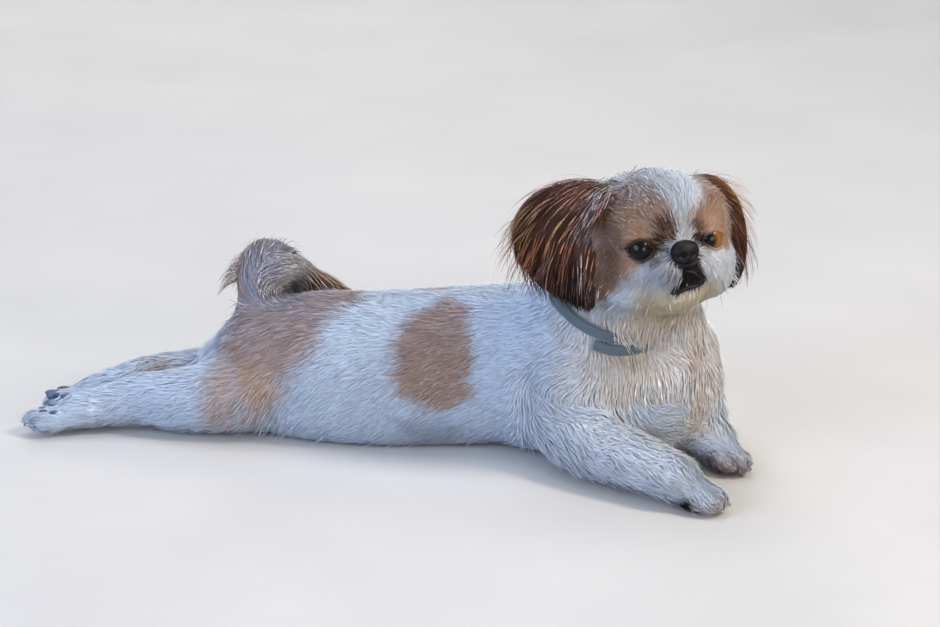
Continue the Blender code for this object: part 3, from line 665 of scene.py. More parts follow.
def refine_face(mesh):
    """Cuts the face finer, then lays the lids round the eyes and presses in the folds of the muzzle."""
    work = bmesh.new()
    work.from_mesh(mesh)
    bpy.data.meshes.remove(mesh)
    for fine in (False, True):
        chosen = set()
        for face in work.faces:
            spot = face.calc_center_median()
            p = to_head(np.array([spot]))[0]
            near_eye = min((spot - e[0]).length for e in EYES.values()) < 1.75 * EYE_RADIUS
            near_mouth = p[0] > 3.6 and abs(p[1]) < 2.4 and -4.6 < p[2] < 0.8
            if near_eye or near_mouth or (not fine and p[0] > 2.2 and abs(p[1]) < 5.4 and -5.2 < p[2] < 2.6):
                chosen.update(face.edges)
        bmesh.ops.subdivide_edges(work, edges=list(chosen), cuts=1, use_grid_fill=True)
    bmesh.ops.triangulate(work, faces=[f for f in work.faces if len(f.verts) > 4])
    mesh = mesh_of(work, "skin")
    at = numbers(mesh.vertices, "co", 3).astype(float)
    edges = numbers(mesh.edges, "vertices", 2, np.int32)
    local = to_head(at)
    zone = (local[:, 0] > 2.0) & (np.abs(local[:, 1]) < 5.6) & (local[:, 2] > -5.4) & (local[:, 2] < 2.8)
    at = np.where(zone[:, None], spread(at, edges, 4), at)
    local = to_head(at)

    def bump(centre, radius, by, way=(1, 0, 0), squash=(1, 1, 1)):
        off = np.linalg.norm((local - np.array(centre)) * np.array(squash), axis=1) / radius
        local[:] = local + np.array(way) * (by * np.clip(1 - off * off, 0, 1)**2)[:, None]

    for side in (-1, 1):
        bump((5.3, 1.55 * side, -1.9), 1.5, 0.22, (1, 0.25 * side, -0.1))          # whisker pads
        bump((4.6, 0.95 * side, 0.35), 0.9, -0.10, (1, 0, 0))                       # folds beside the nose
        bump((4.4, 1.6 * side, 0.9), 1.0, 0.08)                                     # inner brow
    off = (local - NOSE[0]) / NOSE[1]
    within = (np.linalg.norm(off, axis=1) < 1.12)[:, None]
    local[:] = np.where(within, NOSE[0] + unit(off) * 0.55 * NOSE[1], local)        # the nose's leather stands here
    bump((5.6, 0, -1.6), 1.1, -0.16, (1, 0, 0), (1, 3.2, 1))                        # furrow under the nose
    bump((5.3, 0.1, -3.0), 1.1, -0.16, (1, 0, 0.2), (1, 0.8, 1.6))                  # mouth
    bump((5.0, 0.1, -4.3), 1.4, 0.16, (1, 0, 0), (1, 0.8, 1.2))                     # chin
    at = HEAD_MIDDLE + local * CM @ HEAD_TURN.T

    for centre, aim, _, opening in EYES.values():
        away = at - np.array(centre)
        off = np.linalg.norm(away, axis=1)
        way = unit(away)
        ring, facing = lid_ring(way, aim, opening)
        reach = off / EYE_RADIUS
        # behind the eyeball in the opening, round it under the lids, and as it was beyond them
        target = np.where(ring < 1.0, 0.88, np.where(ring < 1.14, 0.88 + 0.21 * soft(1.0, 1.12, ring), 1.09))
        target = target + (np.maximum(reach, 1.0) - target) * soft(1.3, 2.1, ring)
        near = (facing > -0.1) & (reach < 2.0)
        at = np.where(near[:, None], np.array(centre) + way * (target * EYE_RADIUS)[:, None], at)
    mesh.vertices.foreach_set("co", at.ravel())
    mesh.update()
    return mesh


def lid_ring(way, aim, opening):
    """How far each direction from an eye's middle lies from the middle of the lids' opening, 1 at their edge, and
    how much it points that way."""
    sizes = bpy.context.scene.dog_sizes
    aim = np.array(aim)
    across = unit(np.cross([0, 0, 1.0], aim))
    up = np.cross(aim, across)
    facing = way @ aim
    wide, high, slope = opening
    aside, above = np.arctan2(way @ across, facing), np.arctan2(way @ up, facing)
    turn = math.radians(slope)
    aside, above = aside * math.cos(turn) - above * math.sin(turn), aside * math.sin(turn) + above * math.cos(turn)
    q = (np.abs(aside / sizes.lid_width / wide)**1.5 + np.abs(above / sizes.lid_height / high)**1.9)**(1 / 1.7)
    return np.where(facing > 0, q, 9.0), facing


def learn_skin(mesh):
    """Fills SKIN with what the coat needs."""
    SKIN.at = numbers(mesh.vertices, "co", 3).astype(float)
    SKIN.edges = numbers(mesh.edges, "vertices", 2, np.int32)
    SKIN.normal = unit(spread(numbers(mesh.vertices, "normal", 3).astype(float), SKIN.edges, 2))
    mesh.calc_loop_triangles()
    SKIN.tris = numbers(mesh.loop_triangles, "vertices", 3, np.int32)
    SKIN.loops = numbers(mesh.loop_triangles, "loops", 3, np.int32)
    label, depth = nearest_flesh(SKIN.at)
    SKIN.depth = spread(depth, SKIN.edges, 4)
    one = spread(np.eye(len(FLESH))[label], SKIN.edges, 4)
    share = {name: one[:, k] for k, name in enumerate(FLESH)}
    for joint in ("foreleg", "hindleg", "forepaw", "hindpaw", "ear"):
        share[joint] = share[joint + "_right"] + share[joint + "_left"]
    share["paw"] = share["forepaw"] + share["hindpaw"]
    SKIN.share = share
    SKIN.tree = BVHTree.FromPolygons(SKIN.at.tolist(), SKIN.tris.tolist())
    SKIN.flow = coat_flow()


def coat_flow():
    """The way the coat lies at each point of the skin: back along the body, down the chest, out from the
    nose over the face, down the ears, along the legs and tail."""
    at, share = SKIN.at, SKIN.share
    local = to_head(at)
    x, y, _ = (at / CM).T
    count = len(at)

    def lay(way):
        return np.tile(np.array(way, float), (count, 1))

    flow = lay((-1, 0, -0.22))
    side = np.sign(y - 1.5)
    flow[:, 2] -= (0.35 + 0.65 * (1 - soft(-11, -3, x))) * soft(0.5, 4.5, np.abs(y - 1.8))
    chest = soft(15.5, 20.5, x)[:, None] * (share["trunk"] + share["neck"])[:, None]
    down = lay((0.15, 0, -1.0))
    down[:, 1] += 0.25 * side
    flow = between(flow, down, chest)
    flow = between(flow, lay((-0.35, 0, -1.0)) + chest * lay((0.5, 0, 0)), share["neck"][:, None])
    # head
    nose = np.array([5.2, 0.0, 0.1])
    out = unit(local - nose)
    out[:, 0] *= 0.8
    low = (1 - soft(-2.5, 0.8, local[:, 2]))[:, None]
    out = out + low * np.array([0.1, 0, -0.55]) + (1 - low) * np.array([-0.25, 0, 0.10])
    top = (soft(1.5, 4.0, local[:, 2]) * (1 - soft(2.0, 4.2, local[:, 0])))[:, None]
    beside = np.abs(local[:, 1])
    parted = np.stack([np.full(count, -0.8), 0.7 * np.sign(local[:, 1]) * soft(0.6, 3.4, beside),
                       -0.4 * soft(1, 3.5, beside)], 1)
    out = between(out, parted, top)
    rear = (1 - soft(-3.5, -0.5, local[:, 0]))[:, None]
    sides = soft(0, 3, beside)[:, None]
    out = between(out, np.array([-0.3, 0, -0.9]) * (0.4 + 0.6 * sides), rear) + rear * out * 0.2
    flow = between(flow, unit(out) @ HEAD_TURN.T, share["head"][:, None])
    # ears fall from their roots
    for name, root, back in (("ear_right", (0.8, -3.9, 4.9), (-3.2, -3.4, 4.9)),
                             ("ear_left", (0.4, 4.0, 4.4), (-3.0, 3.6, 4.3))):
        root, back = np.array(root), np.array(back)
        along = np.clip((local - root) @ (back - root) / ((back - root) @ (back - root)), 0, 1)[:, None]
        off = local - (root + along * (back - root))
        off[:, 2] = np.minimum(off[:, 2], 0.3)
        # out from the root at the top of the ear, straight down lower on
        off = unit(off) * (0.15 + 1.0 * soft(-1.0, 4.6, local[:, 2]))[:, None]
        off[:, 2] -= 0.8
        flow = between(flow, unit(off) @ HEAD_TURN.T, share[name][:, None])
    # legs and paws along their bones
    for end in PAWS:
        leg, paw = end.replace("_", "leg_"), end.replace("_", "paw_")
        middle = [sum((Vector(c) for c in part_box(n)), Vector()) / 2 for n in (leg, paw)]
        way = (middle[1] - middle[0]).normalized()
        flow = between(flow, lay((way.x, way.y, way.z - 0.15)), share[leg][:, None])
        fall = 0.0 if end.startswith("hind") else -0.10
        flow = between(flow, lay((way.x, way.y, fall)), share[paw][:, None])
    # tail: up its stalk, over the top and down the plume
    stalk = [(-13.4, 0.8, 8.6), (-14.4, 1.4, 11.0), (-14.7, 2.4, 12.9), (-14.6, 4.0, 13.8), (-14.2, 5.6, 13.2),
             (-13.8, 6.8, 11.8), (-13.4, 8.0, 10.0), (-12.8, 9.2, 7.0)]
    stalk = np.array(stalk) * CM
    middle, along = (stalk[1:] + stalk[:-1]) / 2, unit(stalk[1:] - stalk[:-1])
    off = np.linalg.norm(at[:, None] - middle[None], axis=2)
    weights = np.exp(-(off / 0.012)**2) + 1e-9
    tail_way = unit((weights[:, :, None] * along[None]).sum(1) / weights.sum(1)[:, None])
    tail_way = tail_way + 0.35 * unit(at - (weights[:, :, None] * middle[None]).sum(1) / weights.sum(1)[:, None])
    flow = between(flow, tail_way, share["tail"][:, None])
    plume = unit(at - np.array([-0.140, 0.050, 0.135])) * 0.7 + np.array([0.1, 0.15, -0.9])
    flow = between(flow, unit(plume), share["tail_plume"][:, None])

    normal = SKIN.normal
    for _ in range(3):
        flow = unit(flow - (flow * normal).sum(1)[:, None] * normal)
        flow = spread(flow, SKIN.edges, 6)
    return unit(flow - (flow * normal).sum(1)[:, None] * normal)


# ------------------------------------------------------------------ the coat
class Locks:
    """The locks of one coat piece: where they root in the skin, what each is like and how it lies."""

    def __init__(self, chosen, spacing, segments, seed):
        """Roots spread evenly, that many millimetres apart, over the chosen part of the skin."""
        self.segments = segments
        self.random = random = np.random.default_rng(RANDOM + seed)
        at, tris = SKIN.at, SKIN.tris
        a, b, c = (at[tris[:, k]] for k in range(3))
        area = np.linalg.norm(np.cross(b - a, c - a), axis=1) / 2 * (chosen[tris].mean(1) > 0.5)
        wanted = int(area.sum() / (spacing * MM)**2 * 3.5)
        face = random.choice(len(tris), wanted, p=area / area.sum())
        bary = random.dirichlet((1, 1, 1), wanted)
        root = (at[tris[face]] * bary[:, :, None]).sum(1)
        cell = np.floor(root / (spacing * MM) + random.random(3)).astype(np.int64)
        _, first = np.unique(cell @ CELL_CODE, return_index=True)      # one root in each cell
        first = first[random.random(len(first)) < bpy.context.scene.dog_sizes.density]
        face, bary, root = face[first], bary[first], root[first]
        under = (SKIN.normal[tris[face]].mean(1)[:, 2] < -0.6) & (root[:, 2] < 0.014)
        some = ~under | (random.random(len(face)) < 0.25)      # the flattened underside needs only a few
        self.face, self.bary, self.root = face[some], bary[some], root[some]
        self.local = to_head(self.root)
        self.flat = head_map(self.local)
        self.part = {k: self.blend(v) for k, v in SKIN.share.items()}

    def blend(self, values):
        """The skin's values at the roots."""
        picked = values[SKIN.tris[self.face]]
        return (picked * (self.bary if picked.ndim == 2 else self.bary[:, :, None])).sum(1)

    def draw(self):
        """A new random number from 0 to 1 for each lock."""
        return self.random.random(len(self.root))

    def measure(self, scale, strays):
        """How long, wide, curly and clumped each lock is, how high it stands, and whether it strays."""
        part, head = self.part, self.part["head"]
        kinds = np.stack([sum(part[n] for n in FLESH if part_kind(n) == k) for k in COAT], 1)
        kinds /= kinds.sum(1)[:, None]
        long, wide, self.curl, clump = (kinds @ np.array([v[k] for v in COAT.values()]) for k in (1, 2, 3, 4))
        high = np.maximum(self.blend(SKIN.depth), 0.0008)
        ahead, left, up = self.local.T
        u, v = self.flat.T
        # the face: shortest round the eyes and on the nose's bridge, long on the cheeks, chin and crown
        eye_off = np.min([np.linalg.norm(self.root - np.array(e[0]), axis=1) for e in EYES.values()], axis=0)
        eye_off = eye_off / EYE_RADIUS
        bridge = np.exp(-(u / 14)**2 - ((v - 4) / 12)**2)
        pads = np.exp(-((np.abs(u) - 14) / 11)**2 - ((v + 19) / 9)**2)
        lower = (1 - soft(-24, -6, v)) * soft(14, 30, np.hypot(u, v))
        beard = (1 - soft(-44, -34, v)) * (1 - soft(40, 60, np.abs(u))) * soft(0, 2, ahead)
        crest = soft(2.0, 4.0, up) * soft(2.0, 4.0, np.abs(left))
        face_long = 6.0 + 9.0 * soft(1.3, 3.0, eye_off)
        face_long = face_long * (1 - 0.5 * bridge) * (1 - 0.25 * pads) + 8.0 * lower
        face_long = face_long + 5.0 * beard + 8.0 * crest
        face_wide = (0.66 + 0.28 * soft(1.4, 3.0, eye_off)) * (1 - 0.22 * beard)
        self.clump = clump * (1 - 0.6 * head * lower)
        long = between(long, face_long, head) * (0.72 + 0.56 * self.draw()) * scale * MM
        wide = between(wide, face_wide, head) * (0.75 + 0.5 * self.draw()) * MM
        # an ear's hair is cut to one line along its lower edge
        for ear, edge in (("ear_right", -5.4 + 0.16 * np.clip(1.2 - ahead, 0, 5)), ("ear_left", -5.4)):
            room = np.clip((up - edge + 0.6 * (self.draw() - 0.6)) * 1.08, 0.9, 4.8) * CM
            long = np.where(part[ear] > 0.5, np.minimum(room, long * 1.3), long)
        fluff = 1 + 0.45 * np.clip(part["foreleg"] + part["paw"] + 0.6 * part["hindleg"] + 0.5 * part["neck"], 0, 1)
        high = high * (0.50 + 0.65 * self.draw()**1.4 * fluff * (1 - 0.75 * part["ear"]) + 0.2 * part["ear"])
        high *= 1 - 0.32 * part["trunk"] * (1 - soft(0.10, 0.15, self.root[:, 0]))
        under_lip = head * (1 - soft(-38, -31, v)) * (1 - soft(22, 34, np.abs(u)))
        high = np.maximum(high, under_lip * 0.0014 * (0.6 + 0.6 * self.draw()))
        peak = soft(2.6, 4.2, up) * np.exp(-((left + 3.7) / 1.6)**2 - ((ahead - 0.2) / 2.2)**2)
        high = high + 0.008 * peak * (0.5 + 0.7 * self.draw())
        high *= 1 - head * 0.65 * (1 - soft(1.1, 1.7, eye_off))
        cheek = head * soft(24, 34, np.abs(u)) * (1 - soft(60, 74, np.abs(u))) * (1 - soft(-6, 4, v))
        chance = np.maximum(strays, 0.14 * cheek * (u > 0)) * (1 - head * (1 - soft(1.6, 3.2, eye_off)))
        self.stray = self.draw() < chance * (1 - head * np.maximum(beard, 0.75 * lower))
        self.wide = np.where(self.stray, wide * 0.75, wide)
        self.long, self.high = long, np.minimum(high, 0.75 * long)
        self.streak = self.draw()

    def comb(self, free, pull):
        """Lays each lock along the skin, segment by segment. Strays leave it, drawn along by pull."""
        root, part, segments = self.root, self.part, self.segments
        way, normal = unit(self.blend(SKIN.flow)), unit(self.blend(SKIN.normal))
        side = np.cross(normal, way)
        turn = 0.30 * cloud(root, 0.030, 21) + 0.22 * cloud(root, 0.010, 22) + 0.16 * (self.draw() - 0.5)
        chest = np.clip(part["neck"] + part["trunk"] * soft(0.16, 0.20, root[:, 0]) + 0.8 * part["foreleg"], 0, 1)
        turn += chest * (0.85 * cloud(root, 0.030, 23) + 0.45 * cloud(root, 0.013, 25))
        way = unit(way * np.cos(turn)[:, None] + side * np.sin(turn)[:, None])
        phase = self.draw() * 6.28 * 0.15 + 6.28 * cloud(root, 0.018, 24)
        beat = 0.8 + 0.7 * self.draw()
        tilt = (0.10 + 0.28 * self.draw())[:, None] + (0 if pull is None else 0.3)
        drop = np.array([0, 0, -0.12]) if pull is None else self.blend(pull)
        hang = 0 if pull is None else (drop[:, :1] < 0) * 1.0      # these fall from their very roots
        stray = self.stray[:, None]
        self.spots, self.normals, self.ways = [root - normal * 0.0009], [normal], [way]
        way = np.where(stray, unit(way * (1 - 0.6 * hang) + normal * tilt + drop * hang), way)
        flows = SKIN.flow[SKIN.tris].mean(1)
        faces = unit(SKIN.normal[SKIN.tris].mean(1))
        step = np.sqrt(np.maximum(self.long**2 - self.high**2, (0.4 * self.long)**2)) / segments
        surface = root
        for k in range(1, segments + 1):
            along = k / segments
            ahead = surface + way * step[:, None]
            found = [SKIN.tree.find_nearest(p) for p in ahead.tolist()]
            near, index = np.array([f[0] for f in found]), np.array([f[2] for f in found])
            loose = free * soft(0.0005, 0.006, np.linalg.norm(ahead - near, axis=1))
            loose = np.where(self.stray, 1.0, loose)[:, None]
            surface = near + (ahead - near) * loose
            normal = unit(faces[index] * (1 - loose) + normal * loose)
            swing = (self.curl * 1.4 * np.sin(phase + 6.28 * beat * along) / segments * 2)[:, None]
            laid = way * 0.65 + flows[index] * 0.35
            laid = unit(laid - (laid * normal).sum(1)[:, None] * normal)
            way = np.where(stray, unit(way + flows[index] * 0.2 + drop), laid)
            way = unit(way * np.cos(swing) + np.cross(normal, way) * np.sin(swing))
            lift = self.high * (1 - (1 - along)**1.7)
            self.spots.append(surface + normal * np.where(self.stray, 0.3 * lift, lift)[:, None])
            self.normals.append(normal)
            self.ways.append(way)
            if k == (segments + 1) // 2:
                self.seen = surface      # a lock takes its colour from halfway along it

    def gather(self, scale):
        """Neighbouring tips draw together."""
        size = LOCK * scale * (1 + 0.5 * self.part["ear"].mean())
        _, group = np.unique(np.floor(self.root / size).astype(np.int64) @ CELL_CODE, return_inverse=True)
        members = np.bincount(group)
        for k in range(1, self.segments + 1):
            spots = self.spots[k]
            mean = np.stack([np.bincount(group, spots[:, j]) / members for j in range(3)], 1)[group]
            self.spots[k] = between(spots, mean, (self.clump * (k / self.segments)**1.5)[:, None])

    def trim(self):
        """Takes out the locks that cross the mouth, eyes, nose, strap or pads."""
        ahead, left, up = self.local.T
        cross = self.draw()
        in_mouth = (on_head(MOUTH, self.flat, 1.0) > 0.6) & (ahead > 3)
        keep = ~(in_mouth & (cross < 0.15 + 0.55 * (1 - soft(-31, -27, self.flat[:, 1]))))
        dark = on_head(MOUTH, head_map(to_head(self.seen)), 1.0)
        over_mouth = (dark > 0.3) & ~in_mouth & (ahead > 3)
        self.seen = np.where(over_mouth[:, None], self.root, self.seen)
        keep &= ~(in_mouth & (dark < 0.5) & (self.draw() < 0.85))
        for k, spots in enumerate(self.spots[1:], 1):
            place = to_head(spots)
            for centre, aim, _, opening in EYES.values():
                away = spots - np.array(centre)
                ring, _ = lid_ring(unit(away), aim, opening)
                above = place[:, 2] > to_head(np.array([centre]))[0, 2] + 0.2
                keep &= ~((ring < np.where(above, 0.90, 1.05)) & (np.linalg.norm(away, axis=1) < 2.0 * EYE_RADIUS))
            keep &= np.linalg.norm((place - NOSE[0]) / (NOSE[1] * 1.07), axis=1) > 1
            over = head_map(place)
            crossing = (on_head(MOUTH, over, 0.8) > 0.5) & (place[:, 0] > 3) & ~in_mouth
            near_pad = over[:, 0] < 1
            column = near_pad & (over[:, 1] > -24)
            tip = 0.92 if k == self.segments else 0.98
            keep &= ~(crossing & (cross < np.where(column, 0.52, np.where(near_pad, 0.84, tip))))
            keep &= ~in_strap(spots)
            keep &= ~over_pads(spots)
        keep &= ~((ahead > 4.2) & (np.hypot(left / 1.02, (up + 0.35) / 0.85) < 1))

        self.spots, self.normals, self.ways = (
            [row[keep] for row in rows] for rows in (self.spots, self.normals, self.ways))
        self.wide, self.streak, self.seen = self.wide[keep], self.streak[keep], self.seen[keep]
        self.uv = (SKIN.uv[SKIN.loops[self.face]] * self.bary[:, :, None]).sum(1)[keep]
        self.part = {k: v[keep] for k, v in self.part.items()}


def grow_coat(name, chosen, spacing, segments, scale=1.0, free=0.1, seed=0, strays=0.07, pull=None):
    """Locks rooted in the chosen part of the skin, as one closed mesh of thin tapered strands. free is how
    far they leave the skin where it curves away, and strays the share that leaves it altogether."""
    locks = Locks(chosen, spacing, segments, seed)
    locks.measure(scale, strays)
    locks.comb(free, pull)
    locks.gather(scale)
    locks.trim()
    return strand_mesh(name, locks)


def strand_faces(segments):
    """The triangles of one strand: three sides from ring to ring, then its pointed tip and its closed root."""
    faces = []
    for k in range(segments - 1):
        for j in range(3):
            here, there = 3 * k + j, 3 * k + (j + 1) % 3
            faces += [(here, there, there + 3), (here, there + 3, here + 3)]
    last = 3 * (segments - 1)
    faces += [(last + j, last + (j + 1) % 3, 3 * segments) for j in range(3)]
    return np.array(faces + [(2, 1, 0)])


def strand_mesh(name, locks):
    """One closed mesh of three-sided strands from the rings' middles, each with its own patch of OFBake."""
    spots, normals, ways, wide, streak = locks.spots, locks.normals, locks.ways, locks.wide, locks.streak
    uv, ear, colours = locks.uv, locks.part["ear"], paint(locks.seen, locks.part, streak)
    segments, count = locks.segments, len(wide)
    rings = np.empty((count, 3 * segments + 1, 3))
    patch = np.empty((count, 3 * segments + 1, 2))
    facing = np.empty_like(rings)
    lock = np.empty_like(rings)
    lock[:, :, 2] = streak[:, None]
    for k in range(segments):
        along = k / segments
        taper = float(np.interp(along, *TAPER))
        side = np.cross(ways[k], normals[k]) * (wide * taper / 2)[:, None]
        top = normals[k] * (wide * taper * 0.20)[:, None]
        for j, offset in enumerate((side, top, -side)):
            rings[:, 3 * k + j] = spots[k] + offset
            facing[:, 3 * k + j] = normals[k] + (0.18 - 0.09 * ear[:, None]) * unit(offset)
            lock[:, 3 * k + j, 0], lock[:, 3 * k + j, 1] = j - 1, along
            patch[:, 3 * k + j] = uv + np.array([(-1, 0, 1)[j], 2 * along - 1]) * BAKE_PATCH
    rings[:, -1], patch[:, -1] = spots[-1], uv + np.array([0, 1]) * BAKE_PATCH
    facing[:, -1], lock[:, -1, :2] = normals[-1], (0, 1)
    rings[:, :, 2] = np.maximum(rings[:, :, 2], 0.0002 + 0.0003 * streak[:, None])

    faces = strand_faces(segments)
    a, b, c = (rings[:, faces[:, k]] for k in range(3))
    if (np.cross(a, b) * c).sum() < 0:
        faces = faces[:, ::-1]
    width = rings.shape[1]
    index = (faces[None] + np.arange(count)[:, None, None] * width).reshape(-1)

    mesh = bpy.data.meshes.new(name)
    mesh.vertices.add(count * width)
    mesh.vertices.foreach_set("co", rings.astype(np.float32).ravel())
    mesh.loops.add(len(index))
    mesh.loops.foreach_set("vertex_index", index.astype(np.int32))
    mesh.polygons.add(len(index) // 3)
    mesh.polygons.foreach_set("loop_start", np.arange(0, len(index), 3, dtype=np.int32))
    mesh.update(calc_edges=True)
    mesh.validate()
    layer = mesh.uv_layers.new(name="OFBake")
    layer.data.foreach_set("uv", np.clip(patch.reshape(-1, 2)[index], 0, 1).astype(np.float32).ravel())
    along = lock[:, :, 1]
    # painted shade: each strand a little darker at its root; ear strands also darken towards their dark tips
    dark = (0.93 + 0.07 * soft(0.0, 0.6, along)) * (1 - 0.28 * ear[:, None] * soft(0.35, 1.0, along))
    tint = np.concatenate([colours[:, None, :] * dark[:, :, None], np.ones((count, width, 1))], 2)
    store(mesh, "fur", "FLOAT_COLOR", "color", tint)
    store(mesh, "lock", "FLOAT_VECTOR", "vector", lock)
    made = new_object(name, mesh, material("Dog hair", dog_hair))
    mesh.normals_split_custom_set_from_vertices(unit(facing).reshape(-1, 3).tolist())
    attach(made, "root")
    return made


def strap_trees():
    """The collar and its loose end, to measure from."""
    if not hasattr(SKIN, "strap"):
        SKIN.strap = []
        for name in ("collar", "collar_end"):
            mesh = mesh_of(node_bmesh(name), "strap")
            SKIN.strap.append(BVHTree.FromPolygons([v.co.copy() for v in mesh.vertices],
                                                   [tuple(p.vertices) for p in mesh.polygons]))
    return SKIN.strap


def in_strap(points):
    """Whether each point is at the strap, on the stretch where it shows."""
    off = points - COLLAR_MIDDLE
    near = (off[:, 0] < 0.045) & (np.linalg.norm(off, axis=1) < 0.10)
    hit = np.zeros(len(points), bool)
    whole, end = strap_trees()
    for i in np.nonzero(near)[0].tolist():
        place = points[i].tolist()
        if place[0] < STRAP_SHOWS:
            hit[i] = whole.find_nearest(place, 0.0024)[0] is not None
        if place[0] < END_SHOWS:
            hit[i] |= end.find_nearest(place, 0.0016)[0] is not None
    return hit


def over_pads(points):
    """Whether each point lies over a pad of the upturned hind soles."""
    if not hasattr(SKIN, "pads"):
        SKIN.pads = []
        for side in ("right", "left"):
            for k in PADS:
                low, high = (np.array(v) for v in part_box(f"pad_hind_{side}_{k}"))
                SKIN.pads.append(((low + high) / 2, (high - low) / 2))
    hit = np.zeros(len(points), bool)
    for centre, half in SKIN.pads:
        off = (points - centre) / (half * (1.30 if centre[1] > -0.03 else 0.30))
        hit |= (np.hypot(off[:, 0], off[:, 1]) < 1) & (off[:, 2] > -2.0)
    return hit


# ------------------------------------------------------------------ materials
def add(tree, kind, inputs=None, **settings):
    """Adds a node with its settings. Each input is a number, a colour, or a socket to link or the node of
    which the first output is linked."""
    made = tree.nodes.new(kind)
    for key, value in settings.items():
        setattr(made, key, value)
    for key, value in (inputs or {}).items():
        if isinstance(value, bpy.types.Node):
            value = value.outputs[0]
        if isinstance(value, bpy.types.NodeSocket):
            tree.links.new(value, made.inputs[key])
        else:
            made.inputs[key].default_value = value
    return made


def material(name, describe):
    """The material of that name. It is made once: describe adds its pattern to the tree, from the place on
    the model, and gives the inputs of its shader."""
    if name not in bpy.data.materials:
        made = bpy.data.materials.new(name)
        made.use_nodes = True
        tree = made.node_tree
        tree.nodes.clear()
        place = add(tree, "ShaderNodeTexCoord").outputs["Object"]
        shader = add(tree, "ShaderNodeBsdfPrincipled", describe(tree, place))
        add(tree, "ShaderNodeOutputMaterial", {"Surface": shader})
    return bpy.data.materials[name]


def rgba(code):
    return (*srgb(code), 1.0)


def ramp(tree, value, stops):
    """The colour for a value, from stops that each give a value and a hex colour."""
    made = add(tree, "ShaderNodeValToRGB", {"Fac": value})
    while len(made.color_ramp.elements) < len(stops):
        made.color_ramp.elements.new(0.5)
    for element, (place, code) in zip(made.color_ramp.elements, stops):
        element.position, element.color = place, rgba(code)
    return made


def dog_hair(tree, place):
    """Dog hair: soft, dry and a little silky, each lock a shade lighter or darker than the next."""
    fur = add(tree, "ShaderNodeAttribute", attribute_name="fur").outputs["Color"]
    lock = add(tree, "ShaderNodeAttribute", attribute_name="lock").outputs["Vector"]
    turned = add(tree, "ShaderNodeMapping", {"Vector": lock, "Scale": (3.0, 0.6, 97.0)})
    fine = add(tree, "ShaderNodeTexNoise", {"Vector": turned, "Scale": 1.0, "Detail": 2.0})
    wide = add(tree, "ShaderNodeTexNoise", {"Vector": place, "Scale": 60.0, "Detail": 2.0})
    tone = add(tree, "ShaderNodeMapRange", {"Value": fine, "From Min": 0.3, "From Max": 0.7,
                                            "To Min": 0.92, "To Max": 1.06})
    slow = add(tree, "ShaderNodeMapRange", {"Value": wide, "To Min": 0.92, "To Max": 1.06})
    both = add(tree, "ShaderNodeMath", {0: tone, 1: slow}, operation="MULTIPLY")
    tint = add(tree, "ShaderNodeVectorMath", {0: fur, "Scale": both}, operation="SCALE")
    shine = add(tree, "ShaderNodeMapRange", {"Value": fine, "To Min": 0.55, "To Max": 0.70})
    return {"Base Color": tint, "Roughness": shine, "IOR": 1.55, "Specular IOR Level": 0.08,
            "Subsurface Weight": 0.6, "Subsurface Radius": (1.0, 0.9, 0.8), "Subsurface Scale": 0.006}


def undercoat(tree, place):
    """Skin with its undercoat of short hair: matt, with fine grain about a millimetre across."""
    fur = add(tree, "ShaderNodeAttribute", attribute_name="fur").outputs["Color"]
    fine = add(tree, "ShaderNodeTexNoise", {"Vector": place, "Scale": 900.0, "Detail": 3.0})
    tone = add(tree, "ShaderNodeMapRange", {"Value": fine, "To Min": 0.72, "To Max": 1.05})
    tint = add(tree, "ShaderNodeVectorMath", {0: fur, "Scale": tone}, operation="SCALE")
    bump = add(tree, "ShaderNodeBump", {"Height": fine, "Strength": 0.6, "Distance": 0.0008})
    shine = add(tree, "ShaderNodeMapRange", {"Value": fine, "To Min": 0.55, "To Max": 0.8})
    return {"Base Color": tint, "Roughness": shine, "Normal": bump,
            "Specular IOR Level": 0.3}


# One brown iris painted twice: amber in painted sunlight for the far eye, near black in painted shade for the near
# eye
SUNLIT_IRIS = [(0.0, "#030303"), (0.34, "#050403"), (0.40, "#20120A"), (0.48, "#5A3816"), (0.62, "#774D1E"),
         (0.80, "#6A431B"), (1.0, "#4A2F16")]
SHADED_IRIS = [(0.0, "#020202"), (0.34, "#030202"), (0.42, "#0E0805"), (0.52, "#180E09"), (0.60, "#0A0605"),
        (1.0, "#070504")]


def eye_material(name, iris):
    """Eyeball under its wet cornea: black pupil, brown iris with fine rays, dark rim."""
    def wet_eye(tree, place):
        off = add(tree, "ShaderNodeAttribute", attribute_name="off_axis").outputs["Fac"]
        ray = add(tree, "ShaderNodeTexNoise", {"Vector": place, "Scale": 1400.0, "Detail": 3.0})
        shift = add(tree, "ShaderNodeMapRange", {"Value": ray, "To Min": -0.03, "To Max": 0.03})
        moved = add(tree, "ShaderNodeMath", {0: off, 1: shift}, operation="ADD")
        return {"Base Color": ramp(tree, moved, iris), "Roughness": 0.4, "Specular IOR Level": 0.05,
                "Coat Weight": 0.45, "Coat Roughness": 0.02, "Coat IOR": 1.376}

    return material(name, wet_eye)


